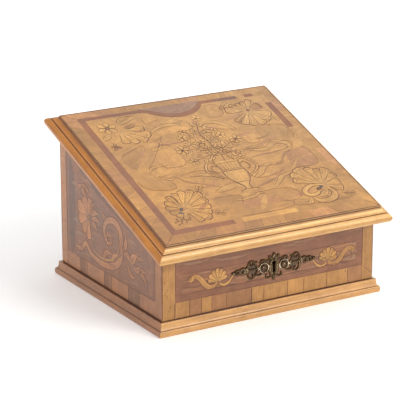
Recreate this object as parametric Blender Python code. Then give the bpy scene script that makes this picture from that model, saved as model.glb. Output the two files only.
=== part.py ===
"""Sloping writing box: an inlaid carcase, a moulded lid hinged at the back, and a pierced brass escutcheon.

X runs along the front, Y from the front to the back and Z up, in metres.
The origin is on the underside of the bottom board, under the middle of the carcase.
The lid's own frame has x along the front, v up the slope from the carcase's front face,
and w square to the slope from the lid's underside. Its pieces hang on an empty on the hinge axis.
"""
import math

import bmesh
import bpy
from mathutils import Matrix, Vector

# Carcase
BODY_WIDTH = 0.400
BODY_DEPTH = 0.342
FRONT_HEIGHT = 0.133
BACK_HEIGHT = 0.2545
WALL = 0.012
BOTTOM_THICKNESS = 0.010

# Gap between pieces that touch
FIT = 0.0003

# Base moulding
BASE_HEIGHT = 0.0225
BASE_FASCIA_HEIGHT = 0.0100
BASE_PROJECTION = 0.0103
BASE_TOP_WIDTH = 0.0050
BASE_FILLET_HEIGHT = 0.0028
BASE_FASCIA_BULGE = 0.0014

# Lid board, and how far it overhangs the carcase
LID_BOARD_THICKNESS = 0.014
LID_OVERHANG_SIDE = 0.0010
LID_OVERHANG_FRONT = 0.0085
LID_OVERHANG_BACK = 0.0040

# Lid frame: the moulding outside the board's edge, and the rebated part under the board
LID_FRAME_THICKNESS = 0.0240
LID_FRAME_INSIDE_WIDTH = 0.032
MOULDING_PROJECTION = 0.0182
LIP_WIDTH = 0.0012
LIP_DROP = 0.0011
COVE_WIDTH = 0.0075
COVE_DEPTH = 0.0073
QUIRK_LAND = 0.0008
QUIRK_DEPTH = 0.0016
NOSE_HEIGHT = 0.0055
NOSE_RETURN = 0.0012
ARRIS_RADIUS = 0.0008

# Keyhole
KEY_X = 0.0055
KEY_Z = 0.0785
KEY_ROUND_RADIUS = 0.0034
KEY_SLOT_WIDTH = 0.0048
KEY_HEIGHT = 0.0185

# Lock and its striking plate
LOCK_WIDTH = 0.070
LOCK_THICKNESS = 0.0085
LOCK_BELOW_KEY = 0.020
LOCK_TOP_CLEARANCE = 0.0020
LOCK_POCKET_DEPTH = 0.006
STRIKE_WIDTH = 0.046
STRIKE_DEPTH = 0.008
STRIKE_THICKNESS = 0.0011

# Escutcheon. The points and widths of its pattern are counted in pattern units
PATTERN_UNIT = 0.001
RING_RISE = 0.001
SHIELD_DROP = 0.001
SPEAR_RISE = 0.0015
LEAST_WIDTH = 0.0008
PLATE_THICKNESS = 0.0016
BOSS_THICKNESS = 0.0026
RING_THICKNESS = 0.0022
SCROLL_THICKNESS = 0.0024
SHIELD_HALF_WIDTH = 0.0108
SHIELD_HALF_HEIGHT = 0.0150
RING_CENTRE = 0.0190
RING_RADIUS = 0.0084
RING_BAND = 0.0023
BOSS_RADIUS = 0.0045
SPEAR_ROOT = 0.0480
SPEAR_TIP = 0.0800
SPEAR_HALF_HEIGHT = 0.0066
INNER_EYE_FROM_ROOT = 0.0115
INNER_EYE_RADIUS = 0.0020
OUTER_EYE_FROM_ROOT = 0.0205
OUTER_EYE_RADIUS = 0.0014
PIN_FROM_TIP = 0.0065
PIN_ABOVE = 0.0130
PIN_BELOW = 0.0125
PIN_RADIUS = 0.0006
PIN_HEAD_RADIUS = 0.0015
PIN_HEAD_HEIGHT = 0.0009
PIN_LENGTH = 0.0070

# Hinges
HINGE_SPACING = 0.220
HINGE_WIDTH = 0.050
KNUCKLE_RADIUS = 0.0030
LEAF_THICKNESS = 0.0012
BODY_LEAF_LENGTH = 0.022
LID_LEAF_LENGTH = 0.024
HINGE_PIN_CLEARANCE = 0.0003
NOTCH_CLEARANCE = 0.0005

# Steps in a quarter turn of a moulding, and in a full turn of a small round piece
QUARTER_STEPS = 8
ROUND_STEPS = 20

SLOPE = math.atan2(BACK_HEIGHT - FRONT_HEIGHT, BODY_DEPTH)
SLOPE_LENGTH = math.hypot(BACK_HEIGHT - FRONT_HEIGHT, BODY_DEPTH)
FRONT_Y = -BODY_DEPTH / 2
BACK_Y = BODY_DEPTH / 2
HALF_WIDTH = BODY_WIDTH / 2
HINGE_Y = BACK_Y + FIT + KNUCKLE_RADIUS
HINGE_W = -FIT - KNUCKLE_RADIUS


def clear_scene():
    """Remove every object, the startup ones too."""
    for old in list(bpy.data.objects):
        bpy.data.objects.remove(old, do_unlink=True)


def make_material(name, colour, roughness, metallic=0.0):
    """A plain Principled material in the piece's own colour."""
    material = bpy.data.materials.new(name)
    material.use_nodes = True
    shader = material.node_tree.nodes["Principled BSDF"]
    shader.inputs["Base Color"].default_value = (*colour, 1.0)
    shader.inputs["Roughness"].default_value = roughness
    shader.inputs["Metallic"].default_value = metallic
    return material


def rim_height(y):
    """Height of the carcase's sloping rim at y."""
    return FRONT_HEIGHT + (y - FRONT_Y) * math.tan(SLOPE)


def lid_plane_point(v, w):
    """World (y, z) of a point at v up the slope and w above the lid's underside."""
    w = w + FIT
    y = FRONT_Y + v * math.cos(SLOPE) - w * math.sin(SLOPE)
    z = FRONT_HEIGHT + v * math.sin(SLOPE) + w * math.cos(SLOPE)
    return y, z


def hinge_v():
    """Place of the hinge axis up the slope, from its y and its w."""
    return (HINGE_Y - FRONT_Y + (HINGE_W + FIT) * math.sin(SLOPE)) / math.cos(SLOPE)


def mesh_object(name, mesh, material, parent=None):
    """Put a mesh into the scene under its name, with its material."""
    piece = bpy.data.objects.new(name, mesh)
    piece.data.materials.append(material)
    piece.parent = parent
    bpy.context.collection.objects.link(piece)
    return piece


def solid_between(name, start, end, material, parent=None):
    """A closed solid whose two flat ends are loops of the same number of points."""
    shape = bmesh.new()
    first = [shape.verts.new(point) for point in start]
    last = [shape.verts.new(point) for point in end]
    shape.faces.new(first)
    shape.faces.new(last)
    for index, corner in enumerate(first):
        follower = (index + 1) % len(first)
        shape.faces.new((corner, first[follower], last[follower], last[index]))
    bmesh.ops.recalc_face_normals(shape, faces=shape.faces)
    mesh = bpy.data.meshes.new(name)
    shape.to_mesh(mesh)
    shape.free()
    return mesh_object(name, mesh, material, parent)


def solid_along_x(name, outline, x_start, x_end, material, parent=None):
    """A solid with the same (y, z) outline from x_start to x_end."""
    start = [(x_start, y, z) for y, z in outline]
    end = [(x_end, y, z) for y, z in outline]
    return solid_between(name, start, end, material, parent)


def solid_along_y(name, outline, y_start, y_end, material, parent=None):
    """A solid with the same (x, z) outline from y_start to y_end."""
    start = [(x, y_start, z) for x, z in outline]
    end = [(x, y_end, z) for x, z in outline]
    return solid_between(name, start, end, material, parent)


def hide_cutter(cutter):
    """Mark an object as a cutting shape, which is no piece of the box."""
    cutter.hide_render = True
    cutter.display_type = "WIRE"


def boolean(piece, other, operation, use_self=False):
    """Add an exact Boolean with another object."""
    modifier = piece.modifiers.new(f"{operation.lower()} {other.name}", "BOOLEAN")
    modifier.operation = operation
    modifier.solver = "EXACT"
    modifier.use_self = use_self
    modifier.object = other


def smooth_rounds(piece, angle_deg=35.0):
    """Shade the round faces of a piece smooth and keep its arrises sharp."""
    piece.data.shade_smooth()
    piece.data.set_sharp_from_angle(angle=math.radians(angle_deg))


def arc(centre, radii, start_deg, end_deg, steps):
    """Points on an ellipse's arc, both ends included."""
    points = []
    for step in range(steps + 1):
        angle = math.radians(start_deg + (end_deg - start_deg) * step / steps)
        points.append((centre[0] + radii[0] * math.cos(angle), centre[1] + radii[1] * math.sin(angle)))
    return points


def base_profile():
    """Base moulding: (m, height), m outward from the carcase's face."""
    fascia = arc((BASE_PROJECTION - BASE_FASCIA_BULGE, BASE_FASCIA_HEIGHT / 2),
                 (BASE_FASCIA_BULGE, BASE_FASCIA_HEIGHT / 2), -90, 90, QUARTER_STEPS)
    cove_foot = BASE_FASCIA_HEIGHT + LIP_WIDTH / 2
    cove_top = BASE_HEIGHT - BASE_FILLET_HEIGHT
    cove_reach = BASE_PROJECTION - BASE_FASCIA_BULGE - LIP_WIDTH / 2 - BASE_TOP_WIDTH
    cove = arc((BASE_TOP_WIDTH + cove_reach, cove_top), (cove_reach, cove_top - cove_foot), 270, 180,
               QUARTER_STEPS)
    foot = [(FIT, 0.0)]
    ledge = [(BASE_TOP_WIDTH + cove_reach, BASE_FASCIA_HEIGHT)]
    top = [(BASE_TOP_WIDTH, BASE_HEIGHT), (FIT, BASE_HEIGHT)]
    return foot + fascia + ledge + cove + top


def lid_profile():
    """Lid frame and moulding: (m, w), m outward from the edge of the lid board."""
    top = LID_FRAME_THICKNESS
    cove_start = LIP_WIDTH
    cove_top = top - LIP_DROP
    cove_foot = cove_top - COVE_DEPTH
    quirk_foot = cove_foot - QUIRK_DEPTH
    land = cove_start + COVE_WIDTH + QUIRK_LAND
    nose_reach = MOULDING_PROJECTION - land
    lip = [(FIT, top), (LIP_WIDTH, top)]
    cove = arc((cove_start + COVE_WIDTH, cove_top), (COVE_WIDTH, COVE_DEPTH), 180, 270, QUARTER_STEPS)
    quirk = [(land, cove_foot), (land, quirk_foot)]
    ovolo = arc((land, NOSE_HEIGHT), (nose_reach, quirk_foot - NOSE_HEIGHT), 90, 0, QUARTER_STEPS)[1:]
    arris = arc((MOULDING_PROJECTION - NOSE_RETURN - ARRIS_RADIUS, ARRIS_RADIUS), (ARRIS_RADIUS, ARRIS_RADIUS),
                0, -90, 3)
    rebate_floor = top - LID_BOARD_THICKNESS - FIT
    inside = [(-LID_FRAME_INSIDE_WIDTH, 0.0), (-LID_FRAME_INSIDE_WIDTH, rebate_floor), (FIT, rebate_floor)]
    return lip + cove + quirk + ovolo + arris + inside


def mitred_lengths(prefix, profile, half_x, near, far, place, material, parent=None):
    """Four lengths of moulding round a rectangle, mitred at its corners.

    The rectangle reaches half_x each way and from near to far along its second axis.
    place(x, along, height) gives a point in the parent's frame.
    """
    gap = FIT / math.sqrt(2)
    lengths = []
    for side, sign in (("front", -1), ("back", 1)):
        edge = near if sign < 0 else far
        loops = [[place(end * (half_x + m - gap), edge + sign * m, h) for m, h in profile]
                 for end in (-1, 1)]
        lengths.append(solid_between(f"{prefix}_{side}", loops[0], loops[1], material, parent))
    for side, sign in (("left", -1), ("right", 1)):
        start = [place(sign * (half_x + m), near - m + gap, h) for m, h in profile]
        end = [place(sign * (half_x + m), far + m - gap, h) for m, h in profile]
        lengths.append(solid_between(f"{prefix}_{side}", start, end, material, parent))
    for length in lengths:
        smooth_rounds(length)
    return lengths


def panel_outline(y_start, y_end):
    """(y, z) outline of a wall between two places in depth, cut off along the slope."""
    foot = BOTTOM_THICKNESS + FIT
    return [(y_start, foot), (y_end, foot), (y_end, rim_height(y_end)), (y_start, rim_height(y_start))]


def build_carcase(veneer, plain_wood, moulding):
    """Bottom board, four walls and the base moulding. Returns the front and back walls."""
    bottom = [(FRONT_Y, 0.0), (BACK_Y, 0.0), (BACK_Y, BOTTOM_THICKNESS), (FRONT_Y, BOTTOM_THICKNESS)]
    solid_along_x("bottom_board", bottom, -HALF_WIDTH, HALF_WIDTH, plain_wood)
    front = solid_along_x("front_panel", panel_outline(FRONT_Y, FRONT_Y + WALL), -HALF_WIDTH, HALF_WIDTH, veneer)
    back = solid_along_x("back_panel", panel_outline(BACK_Y - WALL, BACK_Y), -HALF_WIDTH, HALF_WIDTH, plain_wood)
    between = panel_outline(FRONT_Y + WALL + FIT, BACK_Y - WALL - FIT)
    solid_along_x("left_side_panel", between, -HALF_WIDTH, -HALF_WIDTH + WALL, veneer)
    solid_along_x("right_side_panel", between, HALF_WIDTH - WALL, HALF_WIDTH, veneer)
    mitred_lengths("base_moulding", base_profile(), HALF_WIDTH, FRONT_Y, BACK_Y,
                   lambda x, along, height: (x, along, height), moulding)
    return front, back


def make_lid_frame():
    """The empty on the hinge axis, turned to the slope, that carries the lid."""
    carrier = bpy.data.objects.new("lid_hinge_axis", None)
    carrier.location = (0.0, *lid_plane_point(hinge_v(), HINGE_W))
    carrier.rotation_euler = (SLOPE, 0.0, 0.0)
    bpy.context.collection.objects.link(carrier)
    return carrier


def on_lid(x, v, w):
    """A point of the lid in the frame of the empty on the hinge axis."""
    return x, v - hinge_v(), w - HINGE_W


def build_lid(carrier, veneer, moulding):
    """The lid board let into its moulded frame."""
    half_x = HALF_WIDTH + LID_OVERHANG_SIDE
    near = -LID_OVERHANG_FRONT
    far = SLOPE_LENGTH + LID_OVERHANG_BACK
    low = LID_FRAME_THICKNESS - LID_BOARD_THICKNESS
    start = [on_lid(-half_x, v, w) for v, w in ((near, low), (far, low), (far, LID_FRAME_THICKNESS),
                                                (near, LID_FRAME_THICKNESS))]
    end = [(half_x, v, w) for _, v, w in start]
    solid_between("lid_board", start, end, veneer, carrier)
    mitred_lengths("lid_moulding", lid_profile(), half_x, near, far, on_lid, moulding, carrier)


def keyhole_outline():
    """(x, z) outline of the keyhole about its middle: a round over a slot with a round foot."""
    half_slot = KEY_SLOT_WIDTH / 2
    round_z = KEY_HEIGHT / 2 - KEY_ROUND_RADIUS
    shoulder = math.degrees(math.asin(half_slot / KEY_ROUND_RADIUS))
    head = arc((0.0, round_z), (KEY_ROUND_RADIUS, KEY_ROUND_RADIUS), shoulder - 90, 270 - shoulder, ROUND_STEPS)
    foot = arc((0.0, half_slot - KEY_HEIGHT / 2), (half_slot, half_slot), 180, 360, QUARTER_STEPS)
    return head + foot


def make_keyhole_cutter(material):
    """Cutting shape of the keyhole, through the plate and the wall and into the lock."""
    outline = [(KEY_X + x, KEY_Z + z) for x, z in keyhole_outline()]
    reach = FRONT_Y + WALL + FIT + LOCK_POCKET_DEPTH
    cutter = solid_along_y("keyhole_cutter", outline, FRONT_Y - 2 * BOSS_THICKNESS, reach, material)
    hide_cutter(cutter)
    return cutter


def ribbon(shape, path, widths, thickness, closed=False):
    """Add a band to a bmesh: a flat strip along a path in (x, z), standing out from the wall by thickness."""
    count = len(path)
    rows = []
    for index, (x, z) in enumerate(path):
        before = path[index - 1] if index > 0 or closed else path[index]
        after = path[(index + 1) % count] if index < count - 1 or closed else path[index]
        run = Vector((after[0] - before[0], after[1] - before[1])).normalized()
        side = Vector((-run.y, run.x)) * widths[index] / 2
        corners = ((x + side.x, 0.0, z + side.y), (x - side.x, 0.0, z - side.y),
                   (x - side.x, -thickness, z - side.y), (x + side.x, -thickness, z + side.y))
        rows.append([shape.verts.new(corner) for corner in corners])
    for index in range(count if closed else count - 1):
        near, far = rows[index], rows[(index + 1) % count]
        for corner in range(4):
            follower = (corner + 1) % 4
            shape.faces.new((near[corner], near[follower], far[follower], far[corner]))
    if not closed:
        shape.faces.new(rows[0])
        shape.faces.new(rows[-1])


def taper(count, start, middle, end):
    """Widths along a band that swells from start to middle and falls to end, all in pattern units."""
    widths = []
    for index in range(count):
        share = index / (count - 1)
        edge = start + (end - start) * share
        widths.append(PATTERN_UNIT * (edge + (middle - edge) * math.sin(math.pi * share)))
    return widths


def smooth_path(points, steps):
    """A Catmull-Rom curve through points in pattern units, returned in metres."""
    padded = [points[0]] + points + [points[-1]]
    path = []
    for index in range(len(points) - 1):
        a, b, c, d = (Vector(point) for point in padded[index:index + 4])
        for step in range(steps):
            t = step / steps
            path.append(0.5 * (2 * b + (c - a) * t + (2 * a - 5 * b + 4 * c - d) * t ** 2
                               + (3 * b - a - 3 * c + d) * t ** 3))
    path.append(Vector(points[-1]))
    return [(point.x * PATTERN_UNIT, point.y * PATTERN_UNIT) for point in path]


def spear_outline(steps):
    """Widths of the leaf at each end of the plate, from its root to its tip, with three lobes."""
    widths = []
    for index in range(steps + 1):
        share = index / steps
        body = math.sqrt(max(1.0 - share ** 1.5, 0.0))
        lobes = 1.0 + 0.16 * math.cos(2 * math.pi * 3 * share)
        widths.append(max(2 * SPEAR_HALF_HEIGHT * body * lobes, LEAST_WIDTH))
    return widths


def add_half_scrollwork(shape, side):
    """Ring, boss, scrolls and leaf on one side of the keyhole; side is -1 or 1."""
    def mirrored(path):
        return [(side * x, z) for x, z in path]

    def scroll(points, start, middle, end, thickness, steps=4):
        path = mirrored(smooth_path(points, steps))
        ribbon(shape, path, taper(len(path), start, middle, end), thickness)

    ring = mirrored(arc((RING_CENTRE, RING_RISE), (RING_RADIUS, RING_RADIUS), 0, 360, ROUND_STEPS)[:-1])
    ribbon(shape, ring, [RING_BAND] * len(ring), RING_THICKNESS, closed=True)
    boss_steps = 8
    boss = [(RING_CENTRE - BOSS_RADIUS + BOSS_RADIUS * 2 * step / boss_steps, RING_RISE)
            for step in range(boss_steps + 1)]
    round_widths = [max(2 * math.sqrt(max(BOSS_RADIUS ** 2 - (x - RING_CENTRE) ** 2, 0.0)), LEAST_WIDTH)
                    for x, _ in boss]
    ribbon(shape, mirrored(boss), round_widths, BOSS_THICKNESS)
    scroll([(11, 1), (19, 1), (29, 1)], 1.6, 1.6, 1.6, PLATE_THICKNESS, 2)
    scroll([(28, 1), (38, 1), (50, 1.5)], 2.6, 4.0, 5.0, PLATE_THICKNESS, 3)
    scroll([(29, 1.5), (32.5, 5.5), (35, 9.5), (34, 13), (30.5, 13)], 2.0, 3.2, 1.6, SCROLL_THICKNESS)
    scroll([(35.5, 10), (38.5, 15), (43.5, 16), (48, 12), (49.5, 5), (49, -3), (48, -9), (44, -13),
            (39.5, -12), (39, -8), (42, -7)], 2.2, 3.4, 1.8, SCROLL_THICKNESS)
    scroll([(29, 0.5), (32.5, -4.5), (36, -10), (40, -12)], 2.0, 3.0, 2.2, SCROLL_THICKNESS)
    scroll([(22, -7), (26, -10), (31, -9.5), (35.5, -9)], 1.8, 2.8, 2.0, RING_THICKNESS)
    scroll([(40, 15), (39, 11), (41.5, 8), (44.5, 9.5), (43, 12)], 2.2, 2.6, 1.4, RING_THICKNESS)
    scroll([(7, 13), (14, 12.2), (21, 13.6), (25.5, 12.2), (25, 8)], 3.0, 3.2, 1.8, RING_THICKNESS)
    scroll([(3, 12), (6.5, 16), (10.5, 19.5)], 4.0, 5.0, 1.2, PLATE_THICKNESS)
    scroll([(4, -11), (8.5, -16.5), (13.5, -16.5), (15, -12.5), (12, -11)], 2.6, 3.0, 1.4, SCROLL_THICKNESS)
    steps = 18
    spear = [(SPEAR_ROOT + (SPEAR_TIP - SPEAR_ROOT) * step / steps, SPEAR_RISE) for step in range(steps + 1)]
    ribbon(shape, mirrored(spear), spear_outline(steps), PLATE_THICKNESS)


def add_centre_work(shape):
    """Crest and drop on the middle line of the plate."""
    crest = smooth_path([(0, 11), (0, 17), (0, 23.5)], 5)
    ribbon(shape, crest, taper(len(crest), 6.0, 8.0, 1.0), RING_THICKNESS)
    drop = smooth_path([(0, -13), (0, -18), (0, -23)], 5)
    ribbon(shape, drop, taper(len(drop), 4.0, 6.0, 1.0), PLATE_THICKNESS)


def bmesh_object(name, shape, material, location=(0.0, 0.0, 0.0)):
    """Close a bmesh into an object with its faces turned outward."""
    bmesh.ops.recalc_face_normals(shape, faces=shape.faces)
    mesh = bpy.data.meshes.new(name)
    shape.to_mesh(mesh)
    shape.free()
    piece = mesh_object(name, mesh, material)
    piece.location = location
    return piece


def pin_places():
    """(x, z) of the four pins about the middle of the keyhole."""
    end = SPEAR_TIP - PIN_FROM_TIP
    return (-end, SPEAR_RISE), (end, SPEAR_RISE), (0.0, PIN_ABOVE), (0.0, -PIN_BELOW)


def eye_places():
    """(x, z, radius) of the round piercings in the leaf at each end."""
    first = SPEAR_ROOT + INNER_EYE_FROM_ROOT
    second = SPEAR_ROOT + OUTER_EYE_FROM_ROOT
    return tuple((side * x, SPEAR_RISE, radius) for side in (-1, 1)
                 for x, radius in ((first, INNER_EYE_RADIUS), (second, OUTER_EYE_RADIUS)))


def make_round_cutter(name, places, depth, material):
    """Cutting rods along Y at each (x, z, radius) about the keyhole, from in front of the plate to depth."""
    shape = bmesh.new()
    start = -2 * BOSS_THICKNESS
    for x, z, radius in places:
        centre = Matrix.Translation((x, (start + depth) / 2, z)) @ Matrix.Rotation(math.pi / 2, 4, "X")
        bmesh.ops.create_cone(shape, cap_ends=True, segments=12, radius1=radius, radius2=radius,
                              depth=depth - start, matrix=centre)
    cutter = bmesh_object(name, shape, material, (KEY_X, FRONT_Y, KEY_Z))
    hide_cutter(cutter)
    return cutter


def build_escutcheon(front, keyhole, brass):
    """The pierced plate over the keyhole, and the four pins that hold it."""
    location = (KEY_X, FRONT_Y - FIT, KEY_Z)
    shape = bmesh.new()
    for side in (-1, 1):
        add_half_scrollwork(shape, side)
    add_centre_work(shape)
    scrollwork = bmesh_object("scrollwork_form", shape, brass, location)
    hide_cutter(scrollwork)
    outline = arc((0.0, -SHIELD_DROP), (SHIELD_HALF_WIDTH, SHIELD_HALF_HEIGHT), 0, 360, 2 * ROUND_STEPS)[:-1]
    plate = solid_along_y("escutcheon", outline, -PLATE_THICKNESS, 0.0, brass)
    plate.location = location
    boolean(plate, scrollwork, "UNION", use_self=True)
    boolean(plate, keyhole, "DIFFERENCE")
    holes = [(x, z, PIN_RADIUS + FIT) for x, z in pin_places()]
    pin_cutter = make_round_cutter("pin_hole_cutter", holes, PIN_LENGTH + FIT, brass)
    boolean(plate, make_round_cutter("eye_cutter", eye_places(), FIT, brass), "DIFFERENCE")
    boolean(plate, pin_cutter, "DIFFERENCE")
    boolean(front, pin_cutter, "DIFFERENCE")
    for number, (x, z) in enumerate(pin_places(), 1):
        build_pin(f"escutcheon_pin_{number}", KEY_X + x, KEY_Z + z, brass)


def build_pin(name, x, z, brass):
    """A round-headed pin driven through the plate into the wall."""
    face = -FIT - RING_THICKNESS - FIT
    head = arc((0.0, face), (PIN_HEAD_RADIUS, PIN_HEAD_HEIGHT), 270, 360, 4)
    profile = head + [(PIN_RADIUS, face), (PIN_RADIUS, PIN_LENGTH), (0.0, PIN_LENGTH)]
    shape = bmesh.new()
    corners = [shape.verts.new((radius, depth, 0.0)) for radius, depth in profile]
    edges = [shape.edges.new(pair) for pair in zip(corners, corners[1:])]
    bmesh.ops.spin(shape, geom=corners + edges, cent=(0, 0, 0), axis=(0, 1, 0), angle=2 * math.pi,
                   steps=12, use_merge=True)
    bmesh.ops.remove_doubles(shape, verts=shape.verts, dist=1e-6)
    pin = bmesh_object(name, shape, brass, (x, FRONT_Y, z))
    smooth_rounds(pin)


def build_lock(keyhole, carrier, iron):
    """The lock on the inside of the front wall, and the striking plate under the lid's frame."""
    inner = FRONT_Y + WALL + FIT
    outer = inner + LOCK_THICKNESS
    foot = KEY_Z - LOCK_BELOW_KEY
    outline = [(inner, foot), (outer, foot), (outer, rim_height(outer) - LOCK_TOP_CLEARANCE),
               (inner, rim_height(inner) - LOCK_TOP_CLEARANCE)]
    lock = solid_along_x("lock_case", outline, KEY_X - LOCK_WIDTH / 2, KEY_X + LOCK_WIDTH / 2, iron)
    boolean(lock, keyhole, "DIFFERENCE")
    near = (inner - FRONT_Y) / math.cos(SLOPE) + FIT
    corners = ((near, -FIT - STRIKE_THICKNESS), (near + STRIKE_DEPTH, -FIT - STRIKE_THICKNESS),
               (near + STRIKE_DEPTH, -FIT), (near, -FIT))
    start = [on_lid(KEY_X - STRIKE_WIDTH / 2, v, w) for v, w in corners]
    end = [on_lid(KEY_X + STRIKE_WIDTH / 2, v, w) for v, w in corners]
    solid_between("striking_plate", start, end, iron, carrier)


def rolled_leaf_outline(length):
    """(along, across) outline of a hinge leaf rolled into an eye about the origin.

    The leaf lies along the first axis on its negative side, with its outer face a knuckle's
    radius above the pin's middle, and its end rolls down round the pin and stops short of itself.
    """
    outer = KNUCKLE_RADIUS
    inner = KNUCKLE_RADIUS - LEAF_THICKNESS
    stop = -215
    roll_out = arc((0.0, 0.0), (outer, outer), 90, stop + 30, ROUND_STEPS)
    roll_in = arc((0.0, 0.0), (inner, inner), stop + 30, 90, ROUND_STEPS)
    return [(-length, outer)] + roll_out + roll_in + [(-length, inner)]


def build_hinge(number, centre_x, carrier, brass):
    """One butt hinge: a leaf on the back wall, a leaf under the lid, and the pin."""
    third = HINGE_WIDTH / 3
    left = centre_x - HINGE_WIDTH / 2
    right = centre_x + HINGE_WIDTH / 2
    axis_y, axis_z = lid_plane_point(hinge_v(), HINGE_W)
    outline = [(axis_y - across, axis_z + along) for along, across in rolled_leaf_outline(BODY_LEAF_LENGTH)]
    body_leaf = solid_along_x(f"hinge_{number}_body_leaf", outline, left, right, brass)
    lid_outline = rolled_leaf_outline(LID_LEAF_LENGTH)
    lid_start = [(left, along, across) for along, across in lid_outline]
    lid_end = [(right, along, across) for along, across in lid_outline]
    lid_leaf = solid_between(f"hinge_{number}_lid_leaf", lid_start, lid_end, brass, carrier)
    reach = KNUCKLE_RADIUS + FIT
    middle = knuckle_cutter(f"hinge_{number}_middle_cutter", reach, left + third - FIT / 2,
                            right - third + FIT / 2, (axis_y, axis_z), brass)
    boolean(body_leaf, middle, "DIFFERENCE")
    for end, (x_start, x_end) in enumerate(((left - FIT, left + third + FIT / 2),
                                            (right - third - FIT / 2, right + FIT)), 1):
        cutter = knuckle_cutter(f"hinge_{number}_end_cutter_{end}", reach, x_start, x_end,
                                (axis_y, axis_z), brass)
        boolean(lid_leaf, cutter, "DIFFERENCE")
    pin_radius = KNUCKLE_RADIUS - LEAF_THICKNESS - HINGE_PIN_CLEARANCE
    pin_outline = [(axis_y + y, axis_z + z) for y, z in arc((0, 0), (pin_radius, pin_radius), 0, 360,
                                                            ROUND_STEPS)[:-1]]
    pin = solid_along_x(f"hinge_{number}_pin", pin_outline, left, right, brass)
    for piece in (body_leaf, lid_leaf, pin):
        smooth_rounds(piece)


def knuckle_cutter(name, reach, x_start, x_end, axis, material):
    """A square bar round the hinge axis that clears a knuckle of the other leaf."""
    corners = ((-reach, -reach), (reach, -reach), (reach, reach), (-reach, reach))
    outline = [(axis[0] + y, axis[1] + z) for y, z in corners]
    cutter = solid_along_x(name, outline, x_start, x_end, material)
    hide_cutter(cutter)
    return cutter


def cut_hinge_notch(back, number, centre_x, material):
    """Let the lid leaf into the rim of the back wall."""
    depth = FIT + LEAF_THICKNESS + NOTCH_CLEARANCE
    half = HINGE_WIDTH / 2 + NOTCH_CLEARANCE
    near = SLOPE_LENGTH - 2 * WALL
    far = SLOPE_LENGTH + WALL
    outline = [lid_plane_point(v, w) for v, w in ((near, -depth), (far, -depth), (far, WALL), (near, WALL))]
    cutter = solid_along_x(f"hinge_notch_cutter_{number}", outline, centre_x - half, centre_x + half, material)
    hide_cutter(cutter)
    boolean(back, cutter, "DIFFERENCE")


def build():
    """Make every piece of the box."""
    clear_scene()
    veneer = make_material("marquetry_veneer", (0.36, 0.19, 0.095), 0.42)
    lid_veneer = make_material("lid_veneer", (0.50, 0.29, 0.13), 0.40)
    moulding = make_material("honey_moulding", (0.62, 0.33, 0.11), 0.38)
    plain_wood = make_material("plain_wood", (0.38, 0.22, 0.11), 0.65)
    brass = make_material("aged_brass", (0.20, 0.13, 0.06), 0.45, 1.0)
    iron = make_material("lock_iron", (0.12, 0.11, 0.10), 0.55, 1.0)
    front, back = build_carcase(veneer, plain_wood, moulding)
    carrier = make_lid_frame()
    build_lid(carrier, lid_veneer, moulding)
    keyhole = make_keyhole_cutter(brass)
    boolean(front, keyhole, "DIFFERENCE")
    build_escutcheon(front, keyhole, brass)
    build_lock(keyhole, carrier, iron)
    for number, side in enumerate((-1, 1), 1):
        centre_x = side * HINGE_SPACING / 2
        build_hinge(number, centre_x, carrier, brass)
        cut_hinge_notch(back, number, centre_x, plain_wood)


build()
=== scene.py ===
"""Looks of the writing slope: inlaid veneers, waxed mouldings and a pierced brass keyhole plate.

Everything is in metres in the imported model's frame: X along the front, Y from the front to the back and Z up.
Drawings on a face are in millimetres on that face, and a FaceFrame carries them into the model's frame.
"""
import logging
import math
from dataclasses import dataclass, field
from enum import Enum

import bmesh
import bpy
import numpy as np
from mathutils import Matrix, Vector


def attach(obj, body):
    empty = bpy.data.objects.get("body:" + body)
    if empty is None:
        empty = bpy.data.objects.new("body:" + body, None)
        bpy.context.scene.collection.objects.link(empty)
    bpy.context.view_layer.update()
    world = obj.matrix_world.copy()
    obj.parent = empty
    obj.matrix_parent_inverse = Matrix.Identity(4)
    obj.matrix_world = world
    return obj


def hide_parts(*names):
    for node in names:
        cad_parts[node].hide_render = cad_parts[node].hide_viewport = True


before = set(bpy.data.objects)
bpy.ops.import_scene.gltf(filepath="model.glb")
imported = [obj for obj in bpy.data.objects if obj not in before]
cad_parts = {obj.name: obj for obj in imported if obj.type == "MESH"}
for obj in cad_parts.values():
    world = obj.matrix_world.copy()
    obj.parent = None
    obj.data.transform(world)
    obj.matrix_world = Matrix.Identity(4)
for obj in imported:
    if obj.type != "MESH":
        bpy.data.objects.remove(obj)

Array = np.ndarray
Point = tuple[float, float]
Path = list[Point]
Sides = tuple[float, float, float, float]
Rgb = tuple[int, int, int]
Socket = bpy.types.NodeSocket
Material = bpy.types.Material
Node = bpy.types.Node
Tree = bpy.types.NodeTree

log = logging.getLogger("writing_slope")
MM = 0.001
# Height in millimetres from each piece of a sheet to the next, so that no two lie in one plane
PIECE_STEP = 0.00015
# What a bleach of 1 multiplies red, green and blue by
SUN_BLEACHED = np.array([1.3, 2.4, 20.0])
# Millimetres across and up a face over which the bleach grows by the sheet's own share
BLEACH_SPAN = np.array([200.0, 180.0])
LID_BLEACH = 0.08
# Middle of the keyhole along the front and up it in millimetres
KEYHOLE = (5.5, 78.5)


def linear(rgb: Rgb) -> Array:
    """A display colour of 0 to 255 as the linear colour that shaders take, by the sRGB curve."""
    share = np.array(rgb) / 255.0
    return np.where(share <= 0.04045, share / 12.92, ((share + 0.055) / 1.055) ** 2.4)


def opaque(rgb: Rgb) -> tuple[float, ...]:
    """A display colour as a shader's linear colour with full alpha."""
    return (*(float(v) for v in linear(rgb)), 1.0)


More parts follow.
